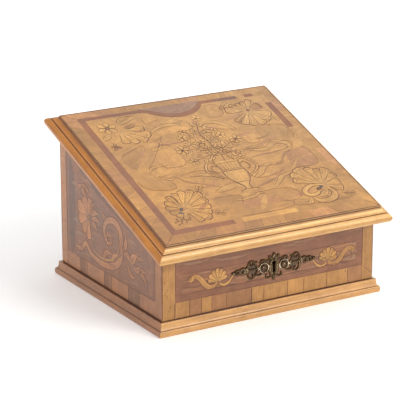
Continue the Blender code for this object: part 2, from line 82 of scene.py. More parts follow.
class Wood(Enum):
    """The veneers, each with its display colour under the finish."""

    HONEY = (184, 131, 67)
    PALE = (210, 157, 84)
    TAN = (197, 143, 74)
    RUSSET = (170, 112, 67)
    ROSY = (194, 136, 80)
    ROSE = (146, 88, 46)
    UMBER = (150, 102, 58)
    PLUM = (130, 82, 52)
    WALNUT = (132, 84, 52)
    SMOKE = (138, 100, 70)
    INK = (92, 42, 8)
    SLATE = (84, 76, 72)


HONEY, PALE, TAN, RUSSET, ROSY, ROSE, UMBER, PLUM, WALNUT, SMOKE, INK, SLATE = Wood


@dataclass(frozen=True)
class BoxSizes:
    """Sizes of the box in millimetres, the same as the solids have."""

    width: float = 400.0
    depth: float = 342.0
    front_height: float = 133.0
    back_height: float = 254.5
    fit: float = 0.3
    lid_half_width: float = 201.0
    lid_front: float = 8.5
    lid_back: float = 4.0
    lid_thickness: float = 24.0

    @property
    def slope(self) -> float:
        """Angle of the lid in radians."""
        return math.atan2(self.back_height - self.front_height, self.depth)

    @property
    def slope_length(self) -> float:
        """Length of the carcase's sloping rim."""
        return math.hypot(self.back_height - self.front_height, self.depth)


SIZES = BoxSizes()


@dataclass(frozen=True)
class FaceFrame:
    """A flat face: where its drawing's origin is, and its three directions."""

    origin: tuple[float, float, float]
    across: tuple[float, float, float]
    up: tuple[float, float, float]
    out: tuple[float, float, float]

    def place(self, points: Array, lift: Array | float = 0.0) -> Array:
        """Origin plus across times x plus up times y plus out times lift.

        Args:
            points: An array whose last axis is (x, y) on the face in millimetres.
            lift: Height over the face in millimetres.

        Returns:
            Points in the model's frame in metres.
        """
        lift = np.broadcast_to(np.asarray(lift, float), points.shape[:-1])
        return MM * (np.array(self.origin) + points[..., :1] * np.array(self.across)
                     + points[..., 1:2] * np.array(self.up) + lift[..., None] * np.array(self.out))


def lid_frame(height: float) -> FaceFrame:
    """Face parallel to the lid, with y running up the slope from the front wall.

    Args:
        height: Height of the face over the lid's underside in millimetres.

    Returns:
        The face.
    """
    turn = SIZES.slope
    up = (0.0, math.cos(turn), math.sin(turn))
    out = (0.0, -math.sin(turn), math.cos(turn))
    rise = height + SIZES.fit
    origin = (0.0, -SIZES.depth / 2 + rise * out[1], SIZES.front_height + rise * out[2])
    return FaceFrame(origin, (1.0, 0.0, 0.0), up, out)


FRONT = FaceFrame((0.0, -SIZES.depth / 2, 0.0), (1, 0, 0), (0, 0, 1), (0, -1, 0))
BACK = FaceFrame((0.0, SIZES.depth / 2, 0.0), (-1, 0, 0), (0, 0, 1), (0, 1, 0))
LEFT = FaceFrame((-SIZES.width / 2, 0.0, 0.0), (0, -1, 0), (0, 0, 1), (-1, 0, 0))
RIGHT = FaceFrame((SIZES.width / 2, 0.0, 0.0), (0, 1, 0), (0, 0, 1), (1, 0, 0))
TABLE = FaceFrame((0, 0, 0), (1, 0, 0), (0, 1, 0), (0, 0, 1))


def curve_through(points: Path, count: int) -> Array:
    """A Catmull-Rom curve through points, sampled evenly in its parameter.

    Args:
        points: Places on the face in millimetres.
        count: How many samples.

    Returns:
        An array of count (x, y) rows.
    """
    knots = np.array([points[0], *points, points[-1]], float)
    place = np.linspace(0.0, len(points) - 1.0, count)
    first = np.minimum(place.astype(int), len(points) - 2)
    t = (place - first)[:, None]
    a, b, c, d = (knots[first + k] for k in range(4))
    square, cube = 2 * a - 5 * b + 4 * c - d, 3 * b - a - 3 * c + d
    return 0.5 * (2 * b + (c - a) * t + square * t ** 2 + cube * t ** 3)


def polar(centre: Point, reach: float, angle: float, squash: float = 1.0) -> Point:
    """The place at a reach and an angle in radians from a centre, its sideways reach times squash."""
    return centre[0] + squash * reach * math.cos(angle), centre[1] + reach * math.sin(angle)


def swelling(count: int, start: float, middle: float, end: float) -> Array:
    """Widths that go evenly from start to end and swell by a sine to the middle width.

    Args:
        count: How many.
        start: The first width.
        middle: The width halfway.
        end: The last width.

    Returns:
        The widths.
    """
    share = np.linspace(0.0, 1.0, count)
    edge = start + (end - start) * share
    return edge + (middle - edge) * np.sin(np.pi * share)


def ribbon_grid(path: Array, widths: Array | float, across: int = 2) -> Array:
    """A strip along a path, square to its central differences.

    Args:
        path: The middle line, rows of (x, y).
        widths: Its width, or one for each row.
        across: How many points it has from minus half to plus half its width.

    Returns:
        A grid of points, rows along the path.
    """
    run = np.gradient(path, axis=0)
    run = run / np.maximum(np.linalg.norm(run, axis=1, keepdims=True), 1e-9)
    side = np.stack([-run[:, 1], run[:, 0]], axis=1)
    widths = np.broadcast_to(np.asarray(widths, float), (len(path),))
    return path[:, None, :] + side[:, None, :] * (widths[:, None] * np.linspace(-0.5, 0.5, across))[..., None]


def quad_grid(corners: Path, along: int = 2, across: int = 2) -> Array:
    """Bilinear blend of four corners.

    Args:
        corners: The four, in turn round the piece.
        along: Points from the first corner to the second.
        across: Points from the first corner to the fourth.

    Returns:
        A grid of points.
    """
    a, b, c, d = (np.array(corner, float) for corner in corners)
    s = np.linspace(0.0, 1.0, along)[:, None, None]
    t = np.linspace(0.0, 1.0, across)[None, :, None]
    return (1 - s) * ((1 - t) * a + t * d) + s * ((1 - t) * b + t * c)


def block_grid(sides: Sides, along: int = 2, across: int = 2) -> Array:
    """An upright rectangle from its left, right, low and high sides, with quad_grid's counts."""
    left, right, low, high = sides
    return quad_grid([(left, low), (right, low), (right, high), (left, high)], along, across)


def rounded_grid(corners: Path) -> Array:
    """A piece with rounded corners, its last row being the outline.

    The outline is the polygon through the corners in 48 steps, each taken as the mean of the nine steps
    about it, and the rows before it shrink towards its middle.

    Args:
        corners: The polygon's corners in turn.

    Returns:
        A grid of six rings.
    """
    ring = np.array([*corners, corners[0]], float)
    step = np.linspace(0.0, len(corners), 49)[:-1]
    edge = np.stack([np.interp(step, np.arange(len(ring)), ring[:, k]) for k in (0, 1)], -1)
    edge = sum(np.roll(edge, k, 0) for k in range(-4, 5)) / 9.0
    middle = edge.mean(axis=0)
    return middle + (np.concatenate([edge, edge[:1]]) - middle) * np.linspace(0.03, 1.0, 6)[:, None, None]


@dataclass
class Sheet:
    """Flat veneer pieces gathered into one mesh, each with its own wood, grain and shading.

    Bleach is how fast the sun's lightening grows over the face, and lines is the sheet that takes the
    engraved lines round the figures.
    """

    face: FaceFrame
    seed: int = 1
    bleach: float = 0.0
    lines: "Sheet | None" = None
    points: list[Array] = field(default_factory=list)
    faces: list[Array] = field(default_factory=list)
    tints: list[Array] = field(default_factory=list)
    grains: list[Array] = field(default_factory=list)
    total: int = 0

    def __post_init__(self) -> None:
        """Start the sheet's own random numbers."""
        self.random = np.random.default_rng(self.seed)

    def add(self, grid: Array, wood: Wood, tone: float = 1.0, grain_deg: float = 0.0, lift: float = 0.02,
            shade: Array | float = 1.0, figure: float = 0.0, flow: Array | None = None) -> None:
        """Lay one piece of veneer.

        Args:
            grid: Points of the piece, rows by columns by (x, y), in millimetres.
            wood: Its veneer.
            tone: Lightness of this piece against its veneer's colour.
            grain_deg: Direction of its grain on the face.
            lift: Height over the face in millimetres, to lay one piece over another.
            shade: Darkening at each point, as hot sand does it; 1 is none.
            figure: How wild the grain is, from 0 for straight to 1 for burr.
            flow: Places along and across a grain that bends with the piece, instead of grain_deg.
        """
        rows, columns = grid.shape[:2]
        index = np.arange(rows * columns).reshape(rows, columns) + self.total
        quads = np.stack([index[:-1, :-1], index[1:, :-1], index[1:, 1:], index[:-1, 1:]], -1).reshape(-1, 4)
        one, other = grid[1:, 1:] - grid[:-1, :-1], grid[:-1, 1:] - grid[1:, :-1]
        if float(np.sum(one[..., 0] * other[..., 1] - one[..., 1] * other[..., 0])) < 0:
            quads = quads[:, ::-1]
        if flow is None:
            turn = math.radians(grain_deg)
            flow = grid @ np.array([[math.cos(turn), -math.sin(turn)], [math.sin(turn), math.cos(turn)]])
        shade = np.broadcast_to(np.asarray(shade, float), (rows, columns))
        reach = self.bleach * (grid @ (1.0 / BLEACH_SPAN) - 1.0)
        tint = linear(wood.value) * tone * shade[..., None] * SUN_BLEACHED ** reach[..., None]
        self.points.append(self.face.place(grid, lift + PIECE_STEP * len(self.faces)).reshape(-1, 3))
        self.faces.append(quads)
        self.grains.append((flow + self.random.uniform(0, 900, 2)).reshape(-1, 2) * MM)
        self.tints.append(np.concatenate([tint, np.full((rows, columns, 1), figure)], -1).reshape(-1, 4))
        self.total += rows * columns

    def line(self, path: Array, width: float = 0.5, lift: float = 0.24, tone: float = 1.0) -> None:
        """Draw an engraved line, fined down at both ends.

        Args:
            path: Rows of (x, y).
            width: Nominal width; ink fills the cut to 1.85 times that.
            lift: Height over the face.
            tone: Lightness against the ink's colour.
        """
        share = np.linspace(0.0, 1.0, len(path))
        fine = 0.45 + 0.55 * np.minimum(1.0, 6 * np.minimum(share, 1 - share))
        self.add(ribbon_grid(path, 1.85 * width * fine), INK, tone, 0.0, lift)

    def strip(self, path: Array, run: Array, widths: Array, shade: Array, wood: Wood, tone: float,
              lift: float) -> Array:
        """Lay a piece five points wide along a path, with a grain that follows it.

        Args:
            path: Its middle line.
            run: How far along the grain each row is.
            widths: Its width at each row.
            shade: Darkening at each point.
            wood: Its veneer.
            tone: Its lightness.
            lift: Height over the face.

        Returns:
            Its grid of points.
        """
        grid = ribbon_grid(path, widths, 5)
        flow = np.stack(np.broadcast_arrays(run[:, None], widths[:, None] * np.linspace(-0.5, 0.5, 5)), -1)
        self.add(grid, wood, tone, lift=lift, shade=shade, flow=flow)
        return grid

    def stroke(self, points: Path, widths: tuple | list, wood: Wood, tone: float = 1.0, lift: float = 0.06,
               dark: float = 0.8, ink: float = 0.45) -> None:
        """Inlay a band along a curve, shaded along its left edge.

        Args:
            points: Places that the curve goes through.
            widths: Width at the start, in the middle and at the end.
            wood: Its veneer.
            tone: Its lightness.
            lift: Height over the face.
            dark: Shade along the left edge.
            ink: Width of the lines on both edges; 0 is none.
        """
        count = 7 * len(points)
        path = curve_through(points, count)
        run = np.cumsum(np.concatenate([[0.0], np.linalg.norm(np.diff(path, axis=0), axis=1)]))
        shade = np.linspace(dark, 1.04, 5)[None, :] * np.ones((count, 1))
        grid = self.strip(path, run, swelling(count, *widths), shade, wood, tone, lift)
        if ink:
            self.lines.line(grid[:, 0], ink)
            self.lines.line(grid[:, -1], ink)

    def leaf(self, base: Point, tip: Point, width: float, tone: float = 1.0, bend: float = 0.0,
             wood: Wood = PALE, lift: float = 0.06, vein: bool = True, ink: float = 0.45) -> None:
        """Inlay a pointed leaf with a line on both edges.

        Args:
            base: Where it starts.
            tip: Where it ends.
            width: Its greatest width.
            tone: Its lightness.
            bend: How far its middle line bows sideways, as a share of its length.
            wood: Its veneer.
            lift: Height over the face.
            vein: True where a vein is engraved too.
            ink: Width of the lines.
        """
        a, b = np.array(base, float), np.array(tip, float)
        t = np.linspace(0.0, 1.0, 13)
        run = b - a
        path = a + run * t[:, None] + np.array([-run[1], run[0]]) * (bend * np.sin(np.pi * t))[:, None]
        half = np.maximum(width * np.sin(np.pi * t ** 0.8) ** 0.8, 0.06)
        shade = (0.80 + 0.24 * t)[:, None] * np.linspace(0.92, 1.03, 5)[None, :]
        grid = self.strip(path, float(np.linalg.norm(run)) * t, half, shade, wood, tone, lift)
        self.lines.line(grid[1:-1, 0], ink)
        self.lines.line(grid[1:-1, -1], ink)
        if vein:
            self.lines.line(path[2:9], ink * 0.6, tone=1.6)

    def disc(self, centre: Point, radii: Point, wood: Wood, tone: float = 1.0, turn_deg: float = 0.0,
             lift: float = 0.08, ink: float = 0.4) -> None:
        """Inlay an oval, its points going round a middle point.

        Args:
            centre: Its middle.
            radii: Its two half sizes.
            wood: Its veneer.
            tone: Its lightness.
            turn_deg: How far it is turned.
            lift: Height over the face.
            ink: Width of the line round it; 0 is none.
        """
        angle = np.linspace(0.0, 2 * math.pi, 17)
        turn = math.radians(turn_deg)
        out = np.stack([radii[0] * np.cos(angle), radii[1] * np.sin(angle)], -1)
        out = out @ np.array([[math.cos(turn), math.sin(turn)], [-math.sin(turn), math.cos(turn)]])
        grid = np.array(centre, float) + np.array([0.12, 0.6, 1.0])[:, None, None] * out[None]
        self.add(grid, wood, tone, turn_deg, lift, shade=np.array([1.05, 1.0, 0.86])[:, None])
        if ink:
            self.lines.line(grid[-1], ink)

    def fan(self, centre: Point, edges: list[float], reaches: list[float], tones: tuple[float, ...] = (1.0,),
            scallop: float = 0.10, wood: Wood = PALE, start: float = 3.0, lift: float = 0.05,
            ink: float = 0.5) -> None:
        """Inlay the petals of a shell flower.

        Petal k lies between two edge angles. Its points are the centre plus a radius from start to its
        reach, and the reach is rounded off at both sides by a root of a sine and ruffled by small lobes.

        Args:
            centre: Root of the flower.
            edges: Angles between the petals in degrees, one more than there are petals.
            reaches: Length of each petal.
            tones: Lightness of the petals in turn.
            scallop: How much the reach falls off at a petal's sides.
            wood: Veneer of the petals.
            start: Radius where the petals begin.
            lift: Height over the face.
            ink: Width of the lines.
        """
        t = np.linspace(0.0, 1.0, 15)
        r = np.linspace(0.0, 1.0, 9)
        for k, reach in enumerate(reaches):
            angle = np.radians(edges[k] + (edges[k + 1] - edges[k]) * t)
            ruffle = 0.035 * np.abs(np.sin((2 + k % 2) * np.pi * t + 0.3 * (k % 2)))
            edge = reach * (1 - scallop + scallop * np.sin(np.pi * t) ** 0.5 + ruffle)
            radius = start + (edge - start)[None, :] * r[:, None]
            ray = np.stack([np.cos(angle), np.sin(angle)], -1)
            grid = np.array(centre, float) + radius[..., None] * ray[None]
            shade = (0.74 + 0.30 * np.minimum(1.0, 2.4 * r))[:, None] * (0.92 + 0.12 * t)[None, :]
            flow = np.stack([radius, np.broadcast_to(reach * 0.5 * (angle - angle[0]), radius.shape)], -1)
            self.add(grid, wood, tones[k % len(tones)], lift=lift, shade=shade, flow=flow)
            self.lines.line(grid[-1], ink * 1.5)
            self.lines.line(grid[-2], ink * 0.45, tone=1.8)
            self.lines.line(grid[2:, 0], ink * 0.9)
            if k == len(reaches) - 1:
                self.lines.line(grid[2:, -1], ink)
            for column in (4, 9):
                self.lines.line(grid[4:8, column], ink * 0.4, tone=2.2)

    def smears(self, area: Sides, count: int, lengths: Point, widths: Point, way: Point,
               woods: tuple[tuple[Wood, float], ...], lift: float = 0.03) -> None:
        """Scatter long slivers of veneer over an area: streaks of a lively grain.

        Args:
            area: Left, right, low and high sides of the area.
            count: How many.
            lengths: Least and greatest length.
            widths: Least and greatest width.
            way: Middle direction in degrees, and how far it may stray.
            woods: Pairs of a veneer and a tone, taken in turn.
            lift: Height over the face.
        """
        left, right, low, high = area
        random = self.random
        for k in range(count):
            heading = math.radians(way[0] + random.uniform(-way[1], way[1]))
            length = random.uniform(*lengths)
            ahead = np.array([math.cos(heading), math.sin(heading)])
            side = np.array([-ahead[1], ahead[0]])
            t = np.linspace(-0.5, 0.5, 9)[:, None]
            middle = np.array([random.uniform(left, right), random.uniform(low, high)])
            bow = side * length * random.uniform(-0.12, 0.12) * np.cos(np.pi * t)
            path = np.clip(middle + ahead * length * t + bow, (left, low), (right, high))
            grid = ribbon_grid(path, swelling(9, 0.2, random.uniform(*widths), 0.2), 3)
            self.add(grid, *woods[k % len(woods)], -math.degrees(heading), lift + 0.0004 * k, figure=0.4)

    def cross_banding(self, outer: Sides, inner: Sides, wood: Wood, pitch: float, lift: float, spread: float,
                      along: bool = False) -> None:
        """Segments of veneer between two rectangles, mitred at the corners, with a line at each joint.

        Args:
            outer: Left, right, low and high sides of the outer rectangle.
            inner: The same for the inner rectangle.
            wood: The veneer.
            pitch: Middle length of a segment.
            lift: Height over the face.
            spread: How far the tone of a segment may stray.
            along: True where the grain runs along the band.
        """
        rings = [np.array([(a, c), (b, c), (a, d), (b, d)], float) for a, b, c, d in (outer, inner)]
        for ends, grain in (([0, 1], 90.0), ([2, 3], 90.0), ([0, 2], 0.0), ([1, 3], 0.0)):
            (a, b), (c, d) = (ring[ends] for ring in rings)
            count = max(int(round(np.linalg.norm(b - a) / pitch)), 1)
            cuts = np.linspace(0.0, 1.0, count + 1)
            cuts[1:-1] += self.random.uniform(-0.28, 0.28, count - 1) / count
            slant = self.random.uniform(-0.04, 0.04, count + 1) * (0 < cuts) * (cuts < 1)
            leaning = cuts + slant * 0.4
            for k in range(count):
                corners = [a + (b - a) * cuts[k], a + (b - a) * cuts[k + 1], c + (d - c) * leaning[k + 1],
                           c + (d - c) * leaning[k]]
                tone = 1.0 + self.random.uniform(-spread, spread)
                kind = wood if along else (wood, ROSY, wood, TAN)[(3 * k + len(self.faces)) % 4]
                self.add(quad_grid(corners, 6, 4), kind, tone, grain + (90.0 if along else 0.0), lift)
                if k:
                    self.line(np.linspace(corners[0], corners[3], 4), 0.22, lift + 0.02, tone=1.8)

    def build(self, name: str, material: Material, body: str) -> None:
        """Make the mesh with its grain map and tints, and let it ride on a body."""
        make_piece(name, np.concatenate(self.points), np.concatenate(self.faces), material, body,
                   grain=np.concatenate(self.grains), attributes={"tint": np.concatenate(self.tints)})


def make_piece(name: str, points: Array, faces: Array, material: Material, body: str,
               grain: Array | None = None, attributes: dict[str, Array] | None = None,
               sharp_deg: float | None = None) -> bpy.types.Object:
    """Put arrays into a mesh object.

    Args:
        name: Name of the piece.
        points: Corners in metres in the model's frame.
        faces: Rows of four corner numbers.
        material: Its finish.
        body: The body that it rides on.
        grain: A (u, v) row for each corner, along and across the grain in metres.
        attributes: Arrays by name with a value, or a row of four for a colour, for each corner.
        sharp_deg: Angle over which an edge stays sharp; None leaves the piece flat.

    Returns:
        The new object.
    """
    mesh = bpy.data.meshes.new(name)
    count = len(faces)
    mesh.vertices.add(len(points))
    mesh.vertices.foreach_set("co", points.astype(np.float32).ravel())
    mesh.loops.add(count * 4)
    mesh.loops.foreach_set("vertex_index", faces.astype(np.int32).ravel())
    mesh.polygons.add(count)
    mesh.polygons.foreach_set("loop_start", np.arange(count, dtype=np.int32) * 4)
    mesh.update(calc_edges=True)
    if grain is not None:
        layer = mesh.uv_layers.new(name="grain")
        layer.data.foreach_set("uv", grain[faces.ravel()].astype(np.float32).ravel())
    for key, data in (attributes or {}).items():
        kind, part = ("FLOAT", "value") if data.ndim == 1 else ("FLOAT_COLOR", "color")
        mesh.attributes.new(key, kind, "POINT").data.foreach_set(part, data.astype(np.float32).ravel())
    mesh.materials.append(material)
    if sharp_deg is not None:
        mesh.shade_smooth()
        mesh.set_sharp_from_angle(angle=math.radians(sharp_deg))
    mesh.validate()
    piece = bpy.data.objects.new(name, mesh)
    bpy.context.collection.objects.link(piece)
    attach(piece, body)
    log.info("%s: %d corners, %d faces", name, len(points), count)
    return piece


# Shader groups


class NodeSheet:
    """Short calls to place and join nodes in one tree."""

    def __init__(self, tree: Tree) -> None:
        """Remember the tree to draw in."""
        self.tree = tree

    def feed(self, node: Node, values: dict) -> None:
        """Set a node's input sockets.

        Args:
            node: The node.
            values: Values by the socket's name or number; a socket as a value is joined.
        """
        for key, value in values.items():
            if isinstance(value, Socket):
                self.tree.links.new(value, node.inputs[key])
            else:
                node.inputs[key].default_value = value

    def node(self, kind: str, values: dict | None = None, **settings: object) -> Node:
        """Add a node.

        Args:
            kind: The node's type.
            values: What its input sockets get.
            settings: Its own properties.

        Returns:
            The node.
        """
        made = self.tree.nodes.new(kind)
        for key, value in settings.items():
            setattr(made, key, value)
        self.feed(made, values or {})
        return made

    def compute(self, operation: str, a: object, b: object, clamp: bool = False) -> Socket:
        """A Math node's result."""
        return self.node("ShaderNodeMath", {0: a, 1: b}, operation=operation, use_clamp=clamp).outputs[0]

    def times(self, a: object, b: object) -> Socket:
        """Product of two values."""
        return self.compute("MULTIPLY", a, b)

    def plus(self, a: object, b: object) -> Socket:
        """Sum of two values."""
        return self.compute("ADD", a, b)

    def less(self, a: object, b: object) -> Socket:
        """First value less the second."""
        return self.compute("SUBTRACT", a, b)

    def remap(self, value: object, low: float, high: float, to_low: float = 0.0,
              to_high: float = 1.0) -> Socket:
        """Smoothly carry a range of values onto another."""
        values = {"Value": value, "From Min": low, "From Max": high, "To Min": to_low, "To Max": to_high}
        return self.node("ShaderNodeMapRange", values, interpolation_type="SMOOTHSTEP").outputs["Result"]

    def noise(self, vector: object, scale: float, detail: float = 3.0, rough: float = 0.55,
              distort: float = 0.0) -> Socket:
        """A noise texture's value."""
        return self.node("ShaderNodeTexNoise", {"Vector": vector, "Scale": scale, "Detail": detail,
                                                "Roughness": rough, "Distortion": distort}).outputs["Fac"]

    def vector(self, operation: str, a: object, b: object = (0.0, 0.0, 0.0)) -> Node:
        """A Vector Math node."""
        return self.node("ShaderNodeVectorMath", {0: a, 1: b}, operation=operation)

    def streaks(self, vector: object, along: float, across: float, detail: float, rough: float) -> Socket:
        """Noise that is drawn out along the first axis."""
        scaled = self.vector("MULTIPLY", vector, (along, across, along)).outputs[0]
        return self.noise(scaled, 1.0, detail, rough)

    def mix(self, share: object, a: object, b: object, blend: str = "MIX") -> Socket:
        """A mix of two colours."""
        made = self.node("ShaderNodeMix", {0: share, 6: a, 7: b}, data_type="RGBA", blend_type=blend)
        return made.outputs[2]

    def colour(self, red: object, green: object, blue: object) -> Socket:
        """A colour from three values."""
        return self.node("ShaderNodeCombineColor", {0: red, 1: green, 2: blue}).outputs[0]

    def attribute(self, name: str) -> Node:
        """A node that reads one of the mesh's attributes."""
        return self.node("ShaderNodeAttribute", attribute_name=name)

    def place(self) -> Socket:
        """Place on the piece in metres."""
        return self.node("ShaderNodeTexCoord").outputs["Object"]


def new_group(name: str, inputs: dict[str, float | None], outputs: list[str]) -> tuple:
    """Start a shader group.

    Args:
        name: Name of the group.
        inputs: First value of each input by name; None makes it a vector.
        outputs: Names of the outputs, which are all values.

    Returns:
        The group, a NodeSheet on it, its input node and its output node.
    """
    tree = bpy.data.node_groups.new(name, "ShaderNodeTree")
    for label, value in inputs.items():
        kind = "NodeSocketVector" if value is None else "NodeSocketFloat"
        socket = tree.interface.new_socket(label, in_out="INPUT", socket_type=kind)
        if value is not None:
            socket.default_value = value
    for label in outputs:
        tree.interface.new_socket(label, in_out="OUTPUT", socket_type="NodeSocketFloat")
    sheet = NodeSheet(tree)
    return tree, sheet, sheet.node("NodeGroupInput"), sheet.node("NodeGroupOutput")


def wood_grain_group() -> Tree:
    """Grain of a sawn or sliced wood: broad bands, fine streaks and pores along the first axis.

    Depth of colour is 1 plus contrast times the streaks; figure bends the bands into burr.

    Returns:
        The group.
    """
    tree, s, given, out = new_group("wood_grain", {"Vector": None, "Contrast": 0.3, "Figure": 0.0},
                                    ["Depth", "Pores", "Height"])
    vector = given.outputs["Vector"]
    slow = s.vector("MULTIPLY", vector, (22, 40, 22)).outputs[0]
    bend = s.node("ShaderNodeTexNoise", {"Vector": slow, "Scale": 1.0, "Detail": 2.0})
    shift = s.vector("SUBTRACT", bend.outputs["Color"], (0.5, 0.5, 0.5)).outputs[0]
    reach = s.plus(0.004, s.times(given.outputs["Figure"], 0.045))
    moved = s.node("ShaderNodeVectorMath", {0: shift, "Scale": reach}, operation="SCALE").outputs[0]
    bent = s.vector("ADD", vector, moved).outputs[0]
    broad = s.streaks(bent, 9, 130, 2.0, 0.5)
    bands = s.streaks(bent, 18, 420, 3.0, 0.6)
    fibre = s.streaks(bent, 70, 2200, 2.0, 0.6)
    pores = s.streaks(bent, 260, 3000, 1.0, 0.5)
    broad, medium, fine = (s.times(s.less(part, 0.5), share) for part, share in
                           ((broad, 0.6), (bands, 1.0), (fibre, 0.6)))
    streaks = s.plus(broad, s.plus(medium, fine))
    s.feed(out, {"Depth": s.plus(1.0, s.times(streaks, given.outputs["Contrast"])),
                 "Pores": s.remap(pores, 0.62, 0.72),
                 "Height": s.plus(s.times(fibre, 0.6), s.times(bands, 0.4))})
    return tree


def patina_group() -> Tree:
    """Age on any surface, from its place: slow clouds, fine scuffs, small dark specks and shallow dents.

    Returns:
        The group.
    """
    tree, s, given, out = new_group("patina", {"Vector": None}, ["Cloud", "Scuff", "Speck", "Dent"])
    vector = given.outputs["Vector"]
    scuff = s.noise(s.vector("MULTIPLY", vector, (60, 900, 240)).outputs[0], 1.0, 2.0, 0.5)
    cells = s.node("ShaderNodeTexVoronoi", {"Vector": vector, "Scale": 48.0, "Randomness": 1.0})
    pick = s.node("ShaderNodeSeparateColor", {0: cells.outputs["Color"]}).outputs[0]
    s.feed(out, {"Cloud": s.noise(vector, 14.0, 4.0, 0.6),
                 "Scuff": s.times(s.remap(scuff, 0.6, 0.75), s.remap(s.noise(vector, 30.0), 0.45, 0.7)),
                 "Speck": s.times(s.remap(cells.outputs["Distance"], 0.055, 0.03), s.remap(pick, 0.82, 0.83)),
                 "Dent": s.noise(vector, 90.0, 3.0, 0.5)})
    return tree


class Finishes:
    """The materials, which share a grain group and a patina group."""

    def __init__(self) -> None:
        """Build the shared groups."""
        self.grain = wood_grain_group()
        self.patina = patina_group()

    def start(self, name: str) -> tuple[Material, NodeSheet, Node]:
        """Begin a material.

        Args:
            name: What it is called.

        Returns:
            The material, a NodeSheet on it and its Principled shader.
        """
        material = bpy.data.materials.new(name)
        material.use_nodes = True
        return material, NodeSheet(material.node_tree), material.node_tree.nodes["Principled BSDF"]

    def dress_wood(self, s: NodeSheet, shader: Node, colour: object, vector: object, contrast: float,
                   figure: object, gloss: Point, pore_depth: float, dark: object = 0.0,
                   mottle: float = 0.1) -> None:
        """Join grain, pores, age and polish to a shader.

        Base colour is the wood's colour times the grain's depth, clouded, darkened by pores, specks and the
        given
        darkening: dirt and painted shade in a moulding's hollows, painted shade about a keyhole.

        Args:
            s: The material's nodes.
            shader: Its Principled shader.
            colour: The wood's colour.
            vector: Place along the grain, across it and through it.
            contrast: Depth of the grain.
            figure: How far the grain bends.
            gloss: Roughness of the most and the least polished spots.
            pore_depth: How dark the pores are.
            dark: Share of darkening: dirt and painted shade in a moulding's hollows, painted shade about a
                keyhole.
            mottle: Depth of the cloudiness.
        """
        place = s.place()
        grain = s.node("ShaderNodeGroup", {"Vector": vector, "Contrast": contrast, "Figure": figure},
                       node_tree=self.grain).outputs
        age = s.node("ShaderNodeGroup", {"Vector": place}, node_tree=self.patina).outputs
        cloud = s.remap(age["Cloud"], 0.3, 0.7, 1.0 - mottle, 1.0 + 0.7 * mottle)
        smoky = s.remap(s.noise(place, 46.0, 4.0, 0.62, 0.8), 0.30, 0.72, 1.0 - mottle, 1.0 + 0.8 * mottle)
        pores = s.less(1.0, s.times(grain["Pores"], pore_depth))
        specks = s.less(1.0, s.times(age["Speck"], 0.75))
        total = s.times(s.times(s.times(s.times(grain["Depth"], cloud), smoky), pores),
                        s.times(specks, s.less(1.0, dark)))
        warm = s.colour(s.compute("POWER", total, 0.85), total, s.compute("POWER", total, 1.2))
        polish = s.remap(age["Cloud"], 0.3, 0.7, *gloss)
        rough = s.compute("ADD", polish, s.times(age["Scuff"], 0.18), clamp=True)
        sunk = s.plus(s.times(grain["Pores"], 0.3), s.times(age["Speck"], 2.0))
        height = s.plus(s.times(grain["Height"], 0.5), s.less(s.times(age["Dent"], 1.2), sunk))
        bump = s.node("ShaderNodeBump", {"Height": height, "Strength": 0.25, "Distance": 0.0004})
        s.feed(shader, {"Base Color": s.mix(1.0, colour, warm, "MULTIPLY"), "Roughness": rough,
                        "Normal": bump.outputs["Normal"], "Specular IOR Level": 0.45})

    def veneer(self) -> Material:
        """Polished inlay: the colour is each piece's tint, and the grain follows its own map.

        Returns:
            The material.
        """
        material, s, shader = self.start("inlay_veneer")
        tint = s.attribute("tint").outputs
        uv = s.node("ShaderNodeUVMap", uv_map="grain").outputs[0]
        self.dress_wood(s, shader, tint["Color"], uv, 0.66, tint["Alpha"], (0.30, 0.44), 0.35, mottle=0.14)
        s.feed(shader, {"Coat Weight": 0.35, "Coat Roughness": 0.22})
        return material

    def moulding(self, name: str, rgb: Rgb, pale_gain: float = 1.0) -> Material:
        """Waxed fruitwood with its grain along the length, dirt and painted shade in its hollows, and paler
        arrises and faces with wear and painted highlights.

        The paler wood is the colour times 1 plus 0.08 times the gain, plus 30 times the gain, out of 255.

        Args:
            name: Name of the finish.
            rgb: Display colour of the wood.
            pale_gain: How much paler the places with wear and painted highlight are.

        Returns:
            The material.
        """
        material, s, shader = self.start(name)
        uv = s.node("ShaderNodeUVMap", uv_map="grain").outputs[0]
        light = tuple(min(255, int(v * (1 + 0.08 * pale_gain) + 30 * pale_gain)) for v in rgb)
        # Paler by the mesh's share of wear and painted highlight
        tone = s.mix(s.attribute("wear_and_highlight").outputs["Fac"], opaque(rgb), opaque(light))
        # Darker by the mesh's share of dirt and painted shade in hollows and creases
        dirt_and_shade_share = s.times(s.remap(s.attribute("hollow").outputs["Fac"], 0.05, 0.95), 0.88)
        self.dress_wood(s, shader, tone, uv, 0.95, 0.03, (0.26, 0.44), 0.45, dirt_and_shade_share, 0.08)
        s.feed(shader, {"Coat Weight": 0.4, "Coat Roughness": 0.2})
        return material

    def plain(self, name: str, rgb: Rgb, axis: str, keyhole: Point | None = None) -> Material:
        """Unpolished board.

        Args:
            name: Name of the finish.
            rgb: Display colour of the wood.
            axis: The model's axis that the grain runs along.
            keyhole: Where a keyhole goes through it in (x, z) millimetres; painted shade blackens the board
                round it.

        Returns:
            The material.
        """
        material, s, shader = self.start(name)
        place = s.place()
        parts = s.node("ShaderNodeSeparateXYZ", {0: place}).outputs
        along = "xyz".index(axis)
        one, other = (parts[k] for k in range(3) if k != along)
        through = s.times(one, 0.2)
        vector = s.node("ShaderNodeCombineXYZ", {0: parts[along], 1: s.plus(one, other), 2: through})
        dark = 0.0
        if keyhole:
            flat = s.vector("MULTIPLY", place, (1, 0, 1)).outputs[0]
            away = s.vector("DISTANCE", flat, (keyhole[0] * MM, 0.0, keyhole[1] * MM)).outputs["Value"]
            # Painted shade: nearly black within 11 mm of the keyhole, fading out by 18 mm
            dark = s.remap(away, 0.011, 0.018, 0.93, 0.0)
        self.dress_wood(s, shader, opaque(rgb), vector.outputs[0], 0.45, 0.0, (0.54, 0.7), 0.3, dark)
        return material

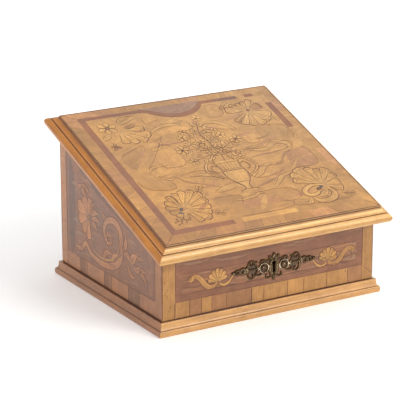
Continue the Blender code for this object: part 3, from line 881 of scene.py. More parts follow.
    def metal(self, name: str, dark: Rgb, bright: Rgb, rough: float, wear_and_highlight: bool = False) -> Material:
        """Old metal: a dark skin that clouds over, and bright metal where wear or a painted highlight shows.

        Args:
            name: Name of the finish.
            dark: Display colour of the skin.
            bright: Display colour of the bare metal.
            rough: Middle roughness.
            wear_and_highlight: True where the mesh gives a share of wear and painted highlight, from below 0
                for darkened edges to 1 for bright.

        Returns:
            The material.
        """
        material, s, shader = self.start(name)
        place = s.place()
        age = s.node("ShaderNodeGroup", {"Vector": place}, node_tree=self.patina).outputs
        fine = s.noise(place, 420.0, 4.0, 0.6)
        cloud = s.remap(age["Cloud"], 0.3, 0.7, 0.75, 1.15)
        bright_level = 0.12
        if wear_and_highlight:
            # The mesh's share of wear and painted highlight; below 0 it darkens the metal
            bright_level = s.attribute("wear_and_highlight").outputs["Fac"]
            cloud = s.times(cloud, s.remap(bright_level, -0.5, 0.0, 0.22, 1.0))
        bright_share = s.remap(s.plus(bright_level, s.times(s.less(fine, 0.5), 0.5)), 0.35, 0.8)
        skin = s.mix(bright_share, opaque(dark), opaque(bright))
        base = s.mix(1.0, skin, s.colour(cloud, cloud, cloud), "MULTIPLY")
        height = s.plus(fine, age["Dent"])
        bump = s.node("ShaderNodeBump", {"Height": height, "Strength": 0.3, "Distance": 0.0003})
        s.feed(shader, {"Base Color": base, "Roughness": s.remap(bright_share, 0.0, 1.0, rough + 0.12, rough - 0.12),
                        "Normal": bump.outputs["Normal"], "Metallic": 1.0})
        return material


# Mouldings


def arc(centre: Point, radii: Point, start: float, end: float, count: int) -> Array:
    """Points on an ellipse's arc between two angles in degrees."""
    angle = np.radians(np.linspace(start, end, count))
    return np.stack([centre[0] + radii[0] * np.cos(angle), centre[1] + radii[1] * np.sin(angle)], axis=1)


class MouldingProfile:
    """A moulding's closed section: points outward from its sight line and up, in millimetres."""

    def __init__(self, *runs: tuple[Array | Path, float, float]) -> None:
        """Join runs of points.

        Args:
            runs: Points, their share of dirt and painted shade, and their share of wear and painted highlight.
        """
        self.points = np.concatenate([np.array(run[0], float) for run in runs])
        counts = [len(run[0]) for run in runs]
        self.hollow, self.wear_and_highlight = (np.repeat([float(run[k]) for run in runs], counts) for k in (1, 2))


def lid_section() -> MouldingProfile:
    """Lid frame: lip, cove, quirk and ovolo, then the flat underside and the rebate for the board."""
    cove = arc((8.7, 22.9), (7.5, 7.3), 180, 270, 14)
    ovolo = arc((9.5, 5.5), (8.7, 8.5), 90, 0, 16)
    # Dirt and painted shade lie at the joint with the field, under the lip, in the quirk and just below it;
    # wear and painted highlights lie on the lip, along the middle of the cove and on the ovolo's face
    return MouldingProfile(
        ([(SIZES.fit, 23.6), (SIZES.fit, 24.0)], 1.0, 0.0), ([(1.1, 24.0), (1.2, 24.0)], 0.05, 0.4),
        (cove[:3], 0.85, 0.0), (cove[3:6], 0.38, 0.2), (cove[6:11], 0.0, 1.0), (cove[11:], 0.1, 0.5),
        ([(9.1, 15.6), (9.5, 15.3)], 0.2, 0.5), ([(9.5, 14.0)], 1.0, 0.0),
        (ovolo[1:3], 0.45, 0.2), (ovolo[3:11], 0.0, 0.6), (ovolo[11:], 0.18, 0.0),
        (arc((16.2, 0.8), (0.8, 0.8), 0, -90, 4), 0.1, 0.5),
        ([(9.0, 0.0), (0.0, 0.0), (-32.0, 0.0), (-32.0, 9.7), (0.3, 9.7), (0.3, 20.0)], 0.15, 0.0))


def base_section() -> MouldingProfile:
    """Base moulding: fascia with a soft swell, a step, a cavetto and a top fillet."""
    # Dirt and painted shade lie at the step under the cavetto and at the top against the wall; wear and painted
    # highlights pale the swell, the cavetto and the top fillet
    return MouldingProfile(
        ([(SIZES.fit, 0.0), (5.0, 0.0)], 0.3, 0.0), (arc((8.9, 5.0), (1.4, 5.0), -90, 90, 16), 0.05, 0.3),
        ([(8.3, 10.0)], 1.0, 0.0), ([(8.3, 10.6)], 0.55, 0.5),
        (arc((8.3, 19.7), (3.3, 9.1), 270, 180, 12)[1:], 0.1, 0.3),
        ([(5.0, 22.0), (4.6, 22.5)], 0.2, 0.6), ([(2.0, 22.5)], 0.55, 0.0),
        ([(SIZES.fit, 22.5), (SIZES.fit, 12.0)], 1.0, 0.0))


@dataclass
class MouldingFrame:
    """Four mitred lengths of one moulding round a rectangle on a face."""

    prefix: str
    section: MouldingProfile
    face: FaceFrame
    half_width: float
    near: float
    far: float
    body: str
    stations: int = 120
    sharp_deg: float = 32.0

    def lengths(self, materials: dict[str, Material]) -> None:
        """Build the four lengths: the section is carried from mitre to mitre, with small hand-made waves.

        Args:
            materials: The finish of each side by name.
        """
        m, h = self.section.points.T
        gap = SIZES.fit / math.sqrt(2)
        share = np.linspace(0.0, 1.0, self.stations)[:, None]
        random = np.random.default_rng(len(self.prefix))
        for side in ("front", "back", "left", "right"):
            out = np.where(m > 1.5, m - self.waves(random, share), m)
            if side in ("front", "back"):
                edge, sign = (self.near, -1) if side == "front" else (self.far, 1)
                run = (self.half_width + m - gap) * (2 * share - 1)
                flat = np.stack([run, edge + sign * out], -1)
            else:
                sign = -1 if side == "left" else 1
                low, high = self.near - m + gap, self.far + m - gap
                run = low + (high - low) * share
                flat = np.stack([sign * (self.half_width + out), run], -1)
            self.finish(side, self.face.place(flat, np.broadcast_to(h, run.shape)), run, materials[side])

    def waves(self, random: np.random.Generator, share: Array) -> Array:
        """Inward wander of the surface in millimetres: three slow sines and a few small knocks.

        Args:
            random: The frame's random numbers.
            share: Places along the length from 0 to 1, as a column.

        Returns:
            A grid of places by points of the section.
        """
        phase = random.uniform(0, 2 * math.pi, 3)
        slow = sum(np.sin(2 * math.pi * share * (k + 2) + phase[k]) / (k + 2) for k in range(3))
        wave = 0.05 * (slow + 1.2) * np.ones((1, len(self.section.points)))
        for centre, size in zip(random.uniform(0.05, 0.95, 5), random.uniform(0.15, 0.5, 5)):
            wave = wave + size * np.exp(-((share - centre) / 0.004) ** 2) * (self.section.wear_and_highlight > 0.5)
        return np.maximum(wave, 0.0)

    def finish(self, side: str, points: Array, run: Array, material: Material) -> None:
        """Close the section, cap both ends and stand it in for its solid.

        Args:
            side: Which length it is.
            points: A grid of points in metres, rows along the length.
            run: Millimetres along the length at each point.
            material: Its finish.
        """
        rows, columns = points.shape[:2]
        index = np.arange(rows * columns).reshape(rows, columns)
        turned = np.roll(index, -1, axis=1)
        quads = np.stack([index[:-1], index[1:], turned[1:], turned[:-1]], -1).reshape(-1, 4)
        step = np.linalg.norm(np.diff(self.section.points, axis=0, append=self.section.points[:1]), axis=1)
        girth = np.concatenate([[0.0], np.cumsum(step)[:-1]])
        grain = np.stack([run, np.broadcast_to(girth, run.shape)], -1).reshape(-1, 2) * MM
        marks = {"hollow": np.tile(self.section.hollow, rows), "wear_and_highlight": np.tile(self.section.wear_and_highlight, rows)}
        piece = make_piece(f"{self.prefix}_{side}_run", points.reshape(-1, 3), quads, material, self.body,
                           grain, marks, self.sharp_deg)
        self.close_ends(piece.data, index[[0, -1]])
        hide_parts(f"{self.prefix}_{side}")

    def close_ends(self, mesh: bpy.types.Mesh, rings: Array) -> None:
        """Cap the two open ends of a length and turn all faces outward.

        Args:
            mesh: The length's mesh.
            rings: Corner numbers of its first and its last section.
        """
        shape = bmesh.new()
        shape.from_mesh(mesh)
        shape.verts.ensure_lookup_table()
        for ring in rings:
            shape.faces.new([shape.verts[i] for i in ring])
        bmesh.ops.recalc_face_normals(shape, faces=shape.faces)
        shape.to_mesh(mesh)
        shape.free()
        mesh.shade_smooth()
        mesh.set_sharp_from_angle(angle=math.radians(self.sharp_deg))


# Marquetry


@dataclass
class Marquetry:
    """Sheets of one face by name; the one named lines takes the engraved lines of the others."""

    prefix: str
    face: FaceFrame
    body: str
    seeds: dict[str, int]
    bleach: float = 0.0

    def __post_init__(self) -> None:
        """Start the sheets."""
        self.sheets = {name: Sheet(self.face, seed, self.bleach) for name, seed in self.seeds.items()}
        self.lines = self.sheets["lines"]
        for sheet in self.sheets.values():
            sheet.lines = self.lines

    def lay(self) -> None:
        """Lay the pieces of every sheet, which each face does in its own way."""
        raise NotImplementedError

    def build(self, veneer: Material) -> None:
        """Lay the pieces and make one mesh of each sheet.

        Args:
            veneer: The material of all sheets.
        """
        self.lay()
        for name, sheet in self.sheets.items():
            sheet.build(f"{self.prefix}_{name}_inlay", veneer, self.body)


# Marquetry of the lid


@dataclass
class LidMarquetry(Marquetry):
    """Veneers of the lid's field: border, bands, ground, shell flowers and a vase of flowers."""

    rim: Sides = (-SIZES.lid_half_width, SIZES.lid_half_width, -SIZES.lid_front, 366.94)
    outer: Sides = (-178.5, 184.5, 13.0, 350.0)
    core: Sides = (-166.5, 172.5, 24.5, 341.5)
    lined_pieces: int = 20
    tone_strength: float = 1.35

    def lay(self) -> None:
        """Lay the ground, then the border, then the figures and their lines."""
        for part in (self.ground, self.border, self.shells, self.vase, self.bouquet, self.scrolls):
            part()

    def ground(self) -> None:
        """Mid-tan ground, and over it the larger pieces it is made up of, each with its own tone and grain.

        The last four lie under the shell flowers, so no line is engraved round them.
        """
        sheet = self.sheets["ground"]
        sheet.add(block_grid(self.rim, 40, 40), TAN, grain_deg=20, figure=0.5, lift=0.01)
        pieces = [
            ([(-163, 228), (-108, 252), (-102, 246), (-151, 180)], 0.84, 40),
            ([(-108, 252), (-72, 258), (-55, 273), (-126, 183), (-151, 180)], 0.97, 50),
            ([(-57, 273), (-12, 273), (-12, 246), (-84, 240)], 0.93, 10),
            ([(-99, 231), (-57, 231), (-54, 180), (-105, 180)], 1.07, 75),
            ([(-163, 180), (-129, 180), (-105, 144), (-108, 120), (-163, 132)], 0.92, 120),
            ([(-96, 156), (-36, 162), (-12, 132), (-36, 111)], 0.95, 155),
            ([(51, 339), (84, 336), (84, 300), (54, 294), (30, 315)], 0.91, 60),
            ([(-42, 297), (6, 297), (6, 273), (-36, 273)], 1.10, 20),
            ([(24, 300), (66, 276), (84, 252), (30, 270)], 1.08, 160),
            ([(75, 240), (102, 240), (102, 210), (78, 210)], 1.09, 90),
            ([(108, 255), (171, 252), (171, 204), (111, 204)], 0.86, 70),
            ([(84, 204), (153, 204), (153, 186), (102, 177)], 1.04, 10),
            ([(123, 168), (171, 186), (171, 123), (114, 126)], 0.80, 100),
            ([(54, 165), (111, 162), (108, 144), (54, 144)], 1.05, 5),
            ([(30, 144), (96, 144), (90, 120), (36, 114)], 1.07, 30),
            ([(-72, 84), (-12, 84), (-24, 54), (-63, 48)], 0.90, 40),
            ([(-34, 74), (54, 84), (90, 72), (84, 42), (-32, 40)], 0.95, 15),
            ([(-63, 48), (66, 48), (57, 27), (-60, 27)], 0.98, 5),
            ([(60, 48), (170, 30), (170, 26), (60, 26)], 0.86, 170),
            ([(-66, 339), (-54, 336), (-36, 318), (-72, 303)], 1.03, 30),
            ([(90, 336), (168, 336), (168, 250), (90, 262)], 0.98, 20),
            ([(-160, 338), (-80, 338), (-76, 262), (-160, 256)], 1.02, 110),
            ([(-160, 120), (-72, 118), (-68, 30), (-160, 28)], 1.02, 140),
            ([(88, 122), (168, 118), (168, 34), (90, 30)], 0.95, 60)]
        for number, (corners, shown, grain) in enumerate(pieces):
            piece = rounded_grid(corners)
            tone = 1.0 + self.tone_strength * (shown - 1.0)
            sheet.add(piece, TAN, tone, grain, 0.02 + 0.001 * number, figure=0.5)
            if number < self.lined_pieces:
                first = 5 * (number % 5)
                self.lines.line(piece[-1, first:first + 26], 0.34, tone=1.4)
        for corners, wood, tone, grain in (
                ([(108, 255), (170, 252), (170, 204), (111, 204)], TAN, 0.86, 70),
                ([(123, 168), (170, 186), (170, 126), (114, 128)], ROSY, 0.87, 100),
                ([(-72, 310), (-40, 300), (-62, 276), (-80, 280)], TAN, 0.90, 20),
                ([(-160, 232), (-112, 250), (-106, 246), (-150, 184)], TAN, 0.86, 40),
                ([(60, 336), (84, 330), (82, 306), (52, 300)], TAN, 0.92, 60),
                ([(92, 110), (166, 100), (166, 60), (150, 66)], ROSY, 0.92, 30),
                ([(-20, 70), (30, 66), (60, 48), (-30, 44)], ROSY, 0.95, 10)):
            sheet.add(rounded_grid(corners), wood, tone, grain, 0.04, figure=0.8)
        self.lunette(sheet)
        sheet.smears((-160, 168, 30, 336), 80, (26, 72), (3.0, 11.0), (22.0, 34.0),
                     ((TAN, 0.90), (ROSY, 0.92), (TAN, 1.07), (PALE, 0.98), (TAN, 0.84)),
                     0.045)

    def lunette(self, sheet: Sheet) -> None:
        """Burr half-moon at the back, between the border and a curved dark band.

        Args:
            sheet: Where it is laid.
        """
        arch = [(-63, 347), (-48, 341), (-27, 327), (0, 319), (27, 322.5), (45, 333), (57, 346)]
        low = curve_through(arch, 29)
        high = np.stack([low[:, 0], np.full(29, 352.0)], -1)
        share = np.linspace(0, 1, 7)[None, :, None]
        sheet.add(low[:, None] * (1 - share) + high[:, None] * share, SMOKE, 1.28, 25, 0.10, figure=1.0)
        sheet.stroke(arch, (7.0, 9.5, 7.0), ROSE, 1.0, 0.105, 0.92, 0.3)

    def border(self) -> None:
        """Crossbanding along the four edges and the dark band inside it."""
        sheet = self.sheets["border"]
        for a, b in (((-200.5, -8), (200.5, -8)), ((-200.5, -8), (-200.5, 366)), ((200.5, -8), (200.5, 366)),
                     ((-200.5, 366.4), (200.5, 366.4))):
            sheet.line(np.linspace(a, b, 60), 0.7, tone=0.8)
        sheet.cross_banding(self.rim, self.outer, HONEY, 44.0, 0.06, 0.17)
        for corner, inner in (((-201, -8.5), (-178.5, 13)), ((201, -8.5), (184.5, 13)),
                              ((-201, 366.9), (-178.5, 350))):
            sheet.line(np.linspace(corner, inner, 6), 0.4, tone=1.2)
        sheet.cross_banding(self.outer, self.core, ROSE, 60.0, 0.04, 0.10, along=True)
        for sides, tone in (((-62, 80, 13, 25), 0.95), ((80, 172, 13, 25), 0.86),
                            ((172, 184.7, 13, 130), 0.96), ((172, 184.7, 130, 238), 0.87),
                            ((172, 184.7, 317, 350.2), 0.98), ((164, 184.7, 341.3, 350.2), 0.96),
                            ((130, 147, 341.3, 350.2), 0.90)):
            sheet.add(block_grid(sides, 8, 8), TAN, tone, 0 if sides[3] < 30 else 90, 0.05, figure=0.4)
        dark_end = [(84, 341.4), (131, 341.4), (129, 350.1), (82, 350.1)]
        sheet.add(quad_grid(dark_end, 8, 4), WALNUT, 0.95, 0, 0.06)
        sheet.add(block_grid((-46, 57, 14.5, 24.5), 4, 8), PALE, 1.16, 0, 0.07)

    def shells(self) -> None:
        """Shell flowers in the four corners, with their curled petals, seeds, sprays and stained hearts."""
        sheet = self.sheets["figures"]
        sheet.fan((-125, 301), [-106, -80, -58, -38, -15, 6], [38, 44, 52, 54, 46], (1.0, 1.06, 0.97, 1.04))
        sheet.leaf((-119, 316), (-76, 331), 17, 0.98, 0.12)
        sheet.leaf((-113, 305), (-86, 316), 9, 1.05, -0.1, HONEY)
        for k in range(6):
            angle = math.radians(60 * k + 15)
            sheet.disc(polar((-140, 312), 11, angle), (7.4, 5.6), PALE, 0.96 + 0.03 * (k % 3),
                       math.degrees(angle), 0.06)
        sheet.disc((-140, 312), (4.0, 3.2), UMBER, 0.85, 20, 0.09)
        sheet.leaf((-146, 293), (-163, 282), 11, 1.0, 0.1)
        for tip in ((-160, 262), (-143, 250), (-160, 250), (-146, 270)):
            sheet.leaf((-150, 258), tip, 5, 1.05, 0.15, HONEY)
        sheet.disc((-150, 258), (2.2, 2.2), INK, 1.6, ink=0.0)
        sheet.fan((129.6, 302), [207, 222, 243, 265, 290, 316, 344], [46, 46, 45, 44, 42, 40],
                  (0.99, 1.04, 0.96, 1.02))
        sheet.fan((129.6, 303), [2, 38], [31], wood=HONEY)
        sheet.fan((129.6, 303), [48, 72, 100, 128, 150, 184], [34, 27, 26, 33, 41], (1.0, 0.94, 1.02), 0.2)
        sheet.disc((130, 303), (3.4, 2.6), UMBER, 0.9, 30, 0.09)
        sheet.leaf((92, 330), (78, 318), 7, 1.1, 0.2, HONEY)
        sheet.leaf((90, 322), (108, 334), 7, 1.0, 0.2)
        sheet.leaf((160, 276), (166, 258), 7, 1.0, 0.2)
        sheet.fan((-125, 70.6), [95, 77, 60, 44, 28, 8, -12, -34, -58, -80],
                  [42, 49, 55, 57, 51, 46, 44, 45, 39], (1.0, 1.07, 0.98, 1.04))
        sheet.fan((-125, 70.6), [95, 118, 146, 176, 206, 236, 264], [39, 33, 30, 28, 27, 30],
                  (0.94, 1.02, 0.92), 0.18)
        sheet.leaf((-130, 84), (-138, 112), 9, 1.05, -0.12)
        sheet.disc((-130.5, 71), (4.6, 2.6), SLATE, 1.0, 60, 0.1)
        sheet.disc((-136, 62), (4.4, 2.4), SLATE, 1.2, -20, 0.1, 0.0)
        self.seeds_about((-148, 42), 8)
        self.spray((-84, 104), 40, 7)
        self.spray((-84, 52), -35, 6)
        sheet.fan((139, 70.6), [162, 144, 127, 103, 84, 66, 45, 20, -14, -50],
                  [50, 56, 57, 50, 44, 49, 41, 33, 34], (1.0, 1.05, 0.97))
        sheet.stroke([(136, 70), (120, 74), (104, 68), (96, 58), (102, 49), (116, 50), (122, 56)], (5, 10, 3),
                     PALE, 1.02, 0.12, 0.84, 0.55)
        sheet.stroke([(142, 62), (146, 48), (140, 36), (124, 29), (108, 33), (104, 44)], (5, 13, 4),
                     PALE, 0.98, 0.125, 0.84, 0.55)
        sheet.leaf((138, 60), (112, 42), 12, 1.06, 0.14, lift=0.13)
        sheet.disc((126, 62), (6.2, 2.8), PLUM, 0.62, 20, 0.15)
        sheet.disc((133, 67), (4.4, 2.4), SLATE, 0.8, -30, 0.15, 0.0)
        sheet.leaf((96, 40), (84, 29), 9, 1.0, 0.2)
        self.spray((158, 42), -30, 6)

    def seeds_about(self, centre: Point, count: int) -> None:
        """A scatter of small seeds round a place, by the spiral of a sunflower's seeds.

        Args:
            centre: The place.
            count: How many.
        """
        for angle, reach in zip(2.4 * np.arange(count), 3.0 * np.sqrt(np.arange(count) + 0.4)):
            self.sheets["figures"].disc(polar(centre, reach, angle, 1.5), (1.5, 1.2), HONEY, 0.9,
                                        math.degrees(angle), 0.07, 0.35)

    def spray(self, root: Point, turn_deg: float, count: int) -> None:
        """A curved stalk with small leaves on both sides.

        Args:
            root: Where the stalk starts.
            turn_deg: The way that it leaves its root.
            count: How many leaves.
        """
        turn = math.radians(turn_deg)
        t = np.linspace(0, 1, 12)
        stalk = np.stack([root[0] + 22 * t * math.cos(turn) - 5 * t ** 2 * math.sin(turn),
                          root[1] + 22 * t * math.sin(turn) + 5 * t ** 2 * math.cos(turn)], -1)
        self.lines.line(stalk, 0.5)
        for k in range(count):
            at = tuple(stalk[2 + (9 * k) // count])
            tip = polar(at, 9, turn + (0.9 if k % 2 else -0.9))
            self.sheets["figures"].leaf(at, tip, 4.0, 1.02, 0.12, vein=False, ink=0.35)

    def vase(self) -> None:
        """Two-handled vase: the half width is a table of heights carried through a smooth curve."""
        sheet, lines = self.sheets["figures"], self.lines
        middle = 10.0
        curve = curve_through([(16.5, 88), (16, 91), (8, 93), (5, 98), (6.5, 105), (12, 113), (17.5, 122),
                               (20.5, 133), (21, 144), (19.5, 152), (20.5, 160), (22, 170), (21, 176)], 60)
        half, high = curve[:, 0], curve[:, 1]
        share = np.linspace(-1, 1, 9)
        grid = np.stack([middle + half[:, None] * share, np.broadcast_to(high[:, None], (60, 9))], -1)
        sheet.add(grid, PALE, 1.0, 90, 0.065, 1.05 - 0.20 * share[None, :] ** 2)
        sheet.disc((middle + 2, 130), (14.5, 14.0), PALE, 1.13, 90, 0.075, 0.0)
        lines.line(grid[:, 0], 0.6)
        lines.line(grid[:, -1], 0.6)
        for level in (93, 113, 147, 151, 170):
            lines.line(grid[int(np.argmin(np.abs(high - level)))], 0.45)
        for k in range(9):
            sheet.disc((middle - 16 + 4 * k, 149), (1.2, 1.4), UMBER, 1.0, 0, 0.09, 0.0)
        for k in range(7):
            x = middle - 17 + 34 * k / 6
            flute = [(x, 152.5), (x + (x - middle) * 0.05, 161), (x + (x - middle) * 0.12, 169)]
            lines.line(curve_through(flute, 8), 0.35, tone=1.8)
        for side, reach in ((-1, 24.0), (1, 26.0)):
            x = middle + side * 21
            outer, inner = ([(x + side * out, level) for out, level in places] for places in (
                ((0, 172), (8, 177), (17, 172), (reach, 158), (reach - 2, 145), (12, 134), (-1, 127)),
                ((1, 162), (8, 166), (14, 158), (12, 148), (5, 146))))
            sheet.stroke(outer, (2.6, 4.6, 2.4), PALE, 1.06, 0.07, 0.85, 0.5)
            sheet.stroke(inner, (1.4, 2.2, 1.2), HONEY, 1.1, 0.07, 0.9, 0.35)

    def bouquet(self) -> None:
        """Stems that rise from the vase, each with leaves, and open flowers and berries at their ends."""
        stems = [
            ([(9.6, 172), (12.8, 194), (9.9, 208), (11.5, 228), (8, 250), (9.9, 266), (16, 282), (23, 300)],
             1.0, 5),
            ([(9, 196), (-3, 215), (-16, 219), (-32, 219), (-46, 220)], 0.7, 3),
            ([(10, 208), (-8, 221), (-20, 236), (-27, 252)], 0.6, 2),
            ([(12, 202), (27, 211), (42, 219), (61, 229)], 0.7, 3),
            ([(11, 227), (24, 240), (41, 245)], 0.6, 2),
            ([(12, 194), (24, 193), (36, 198), (46, 189)], 0.6, 2),
            ([(9, 192), (-3, 196), (-20, 193), (-41, 186)], 0.7, 2),
            ([(-11, 174), (-9, 184), (1, 195), (9, 197)], 0.7, 0),
            ([(27, 172), (25, 184), (18, 194)], 0.6, 0),
            ([(8, 250), (-4, 262), (-18, 268)], 0.5, 1),
            ([(10, 262), (24, 268), (36, 262)], 0.5, 1)]
        for number, (points, width, leaves) in enumerate(stems):
            path = curve_through(points, 10 * len(points))
            self.leaves_along(path, leaves, 0.96 + 0.05 * (number % 3), number)
            self.lines.line(path, 0.6 * width, tone=0.9)
        for number, (centre, size, petals) in enumerate((
                ((-46, 220), 13.0, 6), ((62, 229), 12.0, 6), ((25, 302), 10.0, 5), ((-28, 254), 10.0, 5),
                ((42, 246), 10.0, 5), ((47, 188), 9.0, 5), ((-43, 186), 10.0, 5), ((-19, 270), 8.0, 5),
                ((37, 262), 8.0, 5), ((-4, 232), 8.0, 5), ((24, 212), 8.0, 5))):
            self.blossom(centre, size, petals, 0.98 + 0.04 * (number % 3))
        for centre in ((-47, 220), (63, 229)):
            self.sheets["figures"].disc(centre, (2.4, 1.8), INK, 1.2, lift=0.16, ink=0.0)

    def leaves_along(self, path: Array, count: int, tone: float, start: int) -> None:
        """Leaves in pairs along a stem, turned away from it by 45 to 60 degrees and shorter towards its end.

        Args:
            path: The stem.
            count: How many pairs.
            tone: Their lightness.
            start: Number that their turns and lengths are counted from.
        """
        for k in range(count):
            place = (k + 0.8) / (count + 0.6)
            number = int(place * (len(path) - 1))
            at = path[number]
            ahead = path[min(number + 1, len(path) - 1)] - at
            heading = math.atan2(ahead[1], ahead[0])
            for side in (-1, 1):
                angle = heading + side * math.radians(45 + 15 * ((k + start) % 2))
                length = (19.0 - 5.0 * place) * (1.0 if (k + side + start) % 3 else 0.75)
                self.sheets["figures"].leaf(polar(at, 1.5, angle), polar(at, length, angle), 8.0,
                                            tone + 0.08 + 0.05 * side, side * 0.22, lift=0.06 + 0.003 * k,
                                            vein=bool((k + start) % 2), ink=0.42)

    def blossom(self, centre: Point, size: float, petals: int, tone: float) -> None:
        """Round flower: blunt petals about a small heart.

        Args:
            centre: Its middle.
            size: Its radius.
            petals: How many petals.
            tone: Their lightness.
        """
        sheet = self.sheets["figures"]
        for k in range(petals):
            angle = 2 * math.pi * (k + 0.3) / petals
            sheet.disc(polar(centre, 0.58 * size, angle), (0.44 * size, 0.34 * size), PALE,
                       tone * (1.0 + 0.05 * (k % 2)), math.degrees(angle), 0.085, 0.3)
        sheet.disc(centre, (size * 0.16, size * 0.16), UMBER, 0.9, lift=0.1, ink=0.0)

    def scrolls(self) -> None:
        """Loose leaf scrolls of the ground, some pale and some dark."""
        pale = [
            ([(-132, 174), (-123, 186), (-105, 190), (-93, 187)], (1, 4, 1)),
            ([(-120, 165), (-117, 156), (-105, 150), (-96, 156)], (1, 4, 1)),
            ([(-102, 240), (-90, 234), (-75, 243), (-72, 255)], (2, 5, 2)),
            ([(54, 204), (75, 192), (99, 189), (126, 204), (144, 192), (135, 177), (108, 177)], (2, 7, 2)),
            ([(-30, 78), (-24, 69), (6, 72), (21, 78), (30, 69)], (1, 4, 1)),
            ([(54, 84), (72, 100), (84, 111), (108, 117)], (2, 6, 2)),
            ([(-48, 98), (-30, 104), (-8, 108), (-2, 100)], (3, 9, 2)),
            ([(36, 118), (52, 128), (66, 142), (86, 150)], (2, 7, 2)),
            ([(-64, 150), (-48, 148), (-30, 142), (-18, 128)], (2, 6, 1)),
            ([(60, 196), (80, 200), (100, 199)], (1, 3, 1)),
            ([(-70, 284), (-50, 294), (-30, 296), (-10, 290)], (2, 6, 2)),
            ([(30, 286), (50, 284), (66, 272), (76, 256)], (2, 6, 2))]
        dark = [
            ([(-84, 237), (-72, 245), (-57, 237)], (1, 5, 1)),
            ([(-96, 156), (-84, 138), (-63, 126), (-36, 111)], (1, 4, 1)),
            ([(-72, 149), (-60, 148), (-48, 147)], (1, 3, 1)),
            ([(60, 172), (84, 176), (104, 176), (126, 180)], (1, 4, 1)),
            ([(24, 93), (51, 102), (72, 110)], (1, 5, 1)),
            ([(96, 220), (112, 222), (126, 226)], (1, 4, 1)),
            ([(110, 156), (124, 168), (140, 176)], (1, 6, 1))]
        for points, widths in pale:
            self.sheets["figures"].stroke(points, [1.5 * w for w in widths], PALE, 0.98, 0.05, 0.86, 0.28)
        for points, widths in dark:
            self.sheets["figures"].stroke(points, widths, ROSY, 0.68, 0.13, 0.95, 0.0)


# Marquetry of the walls


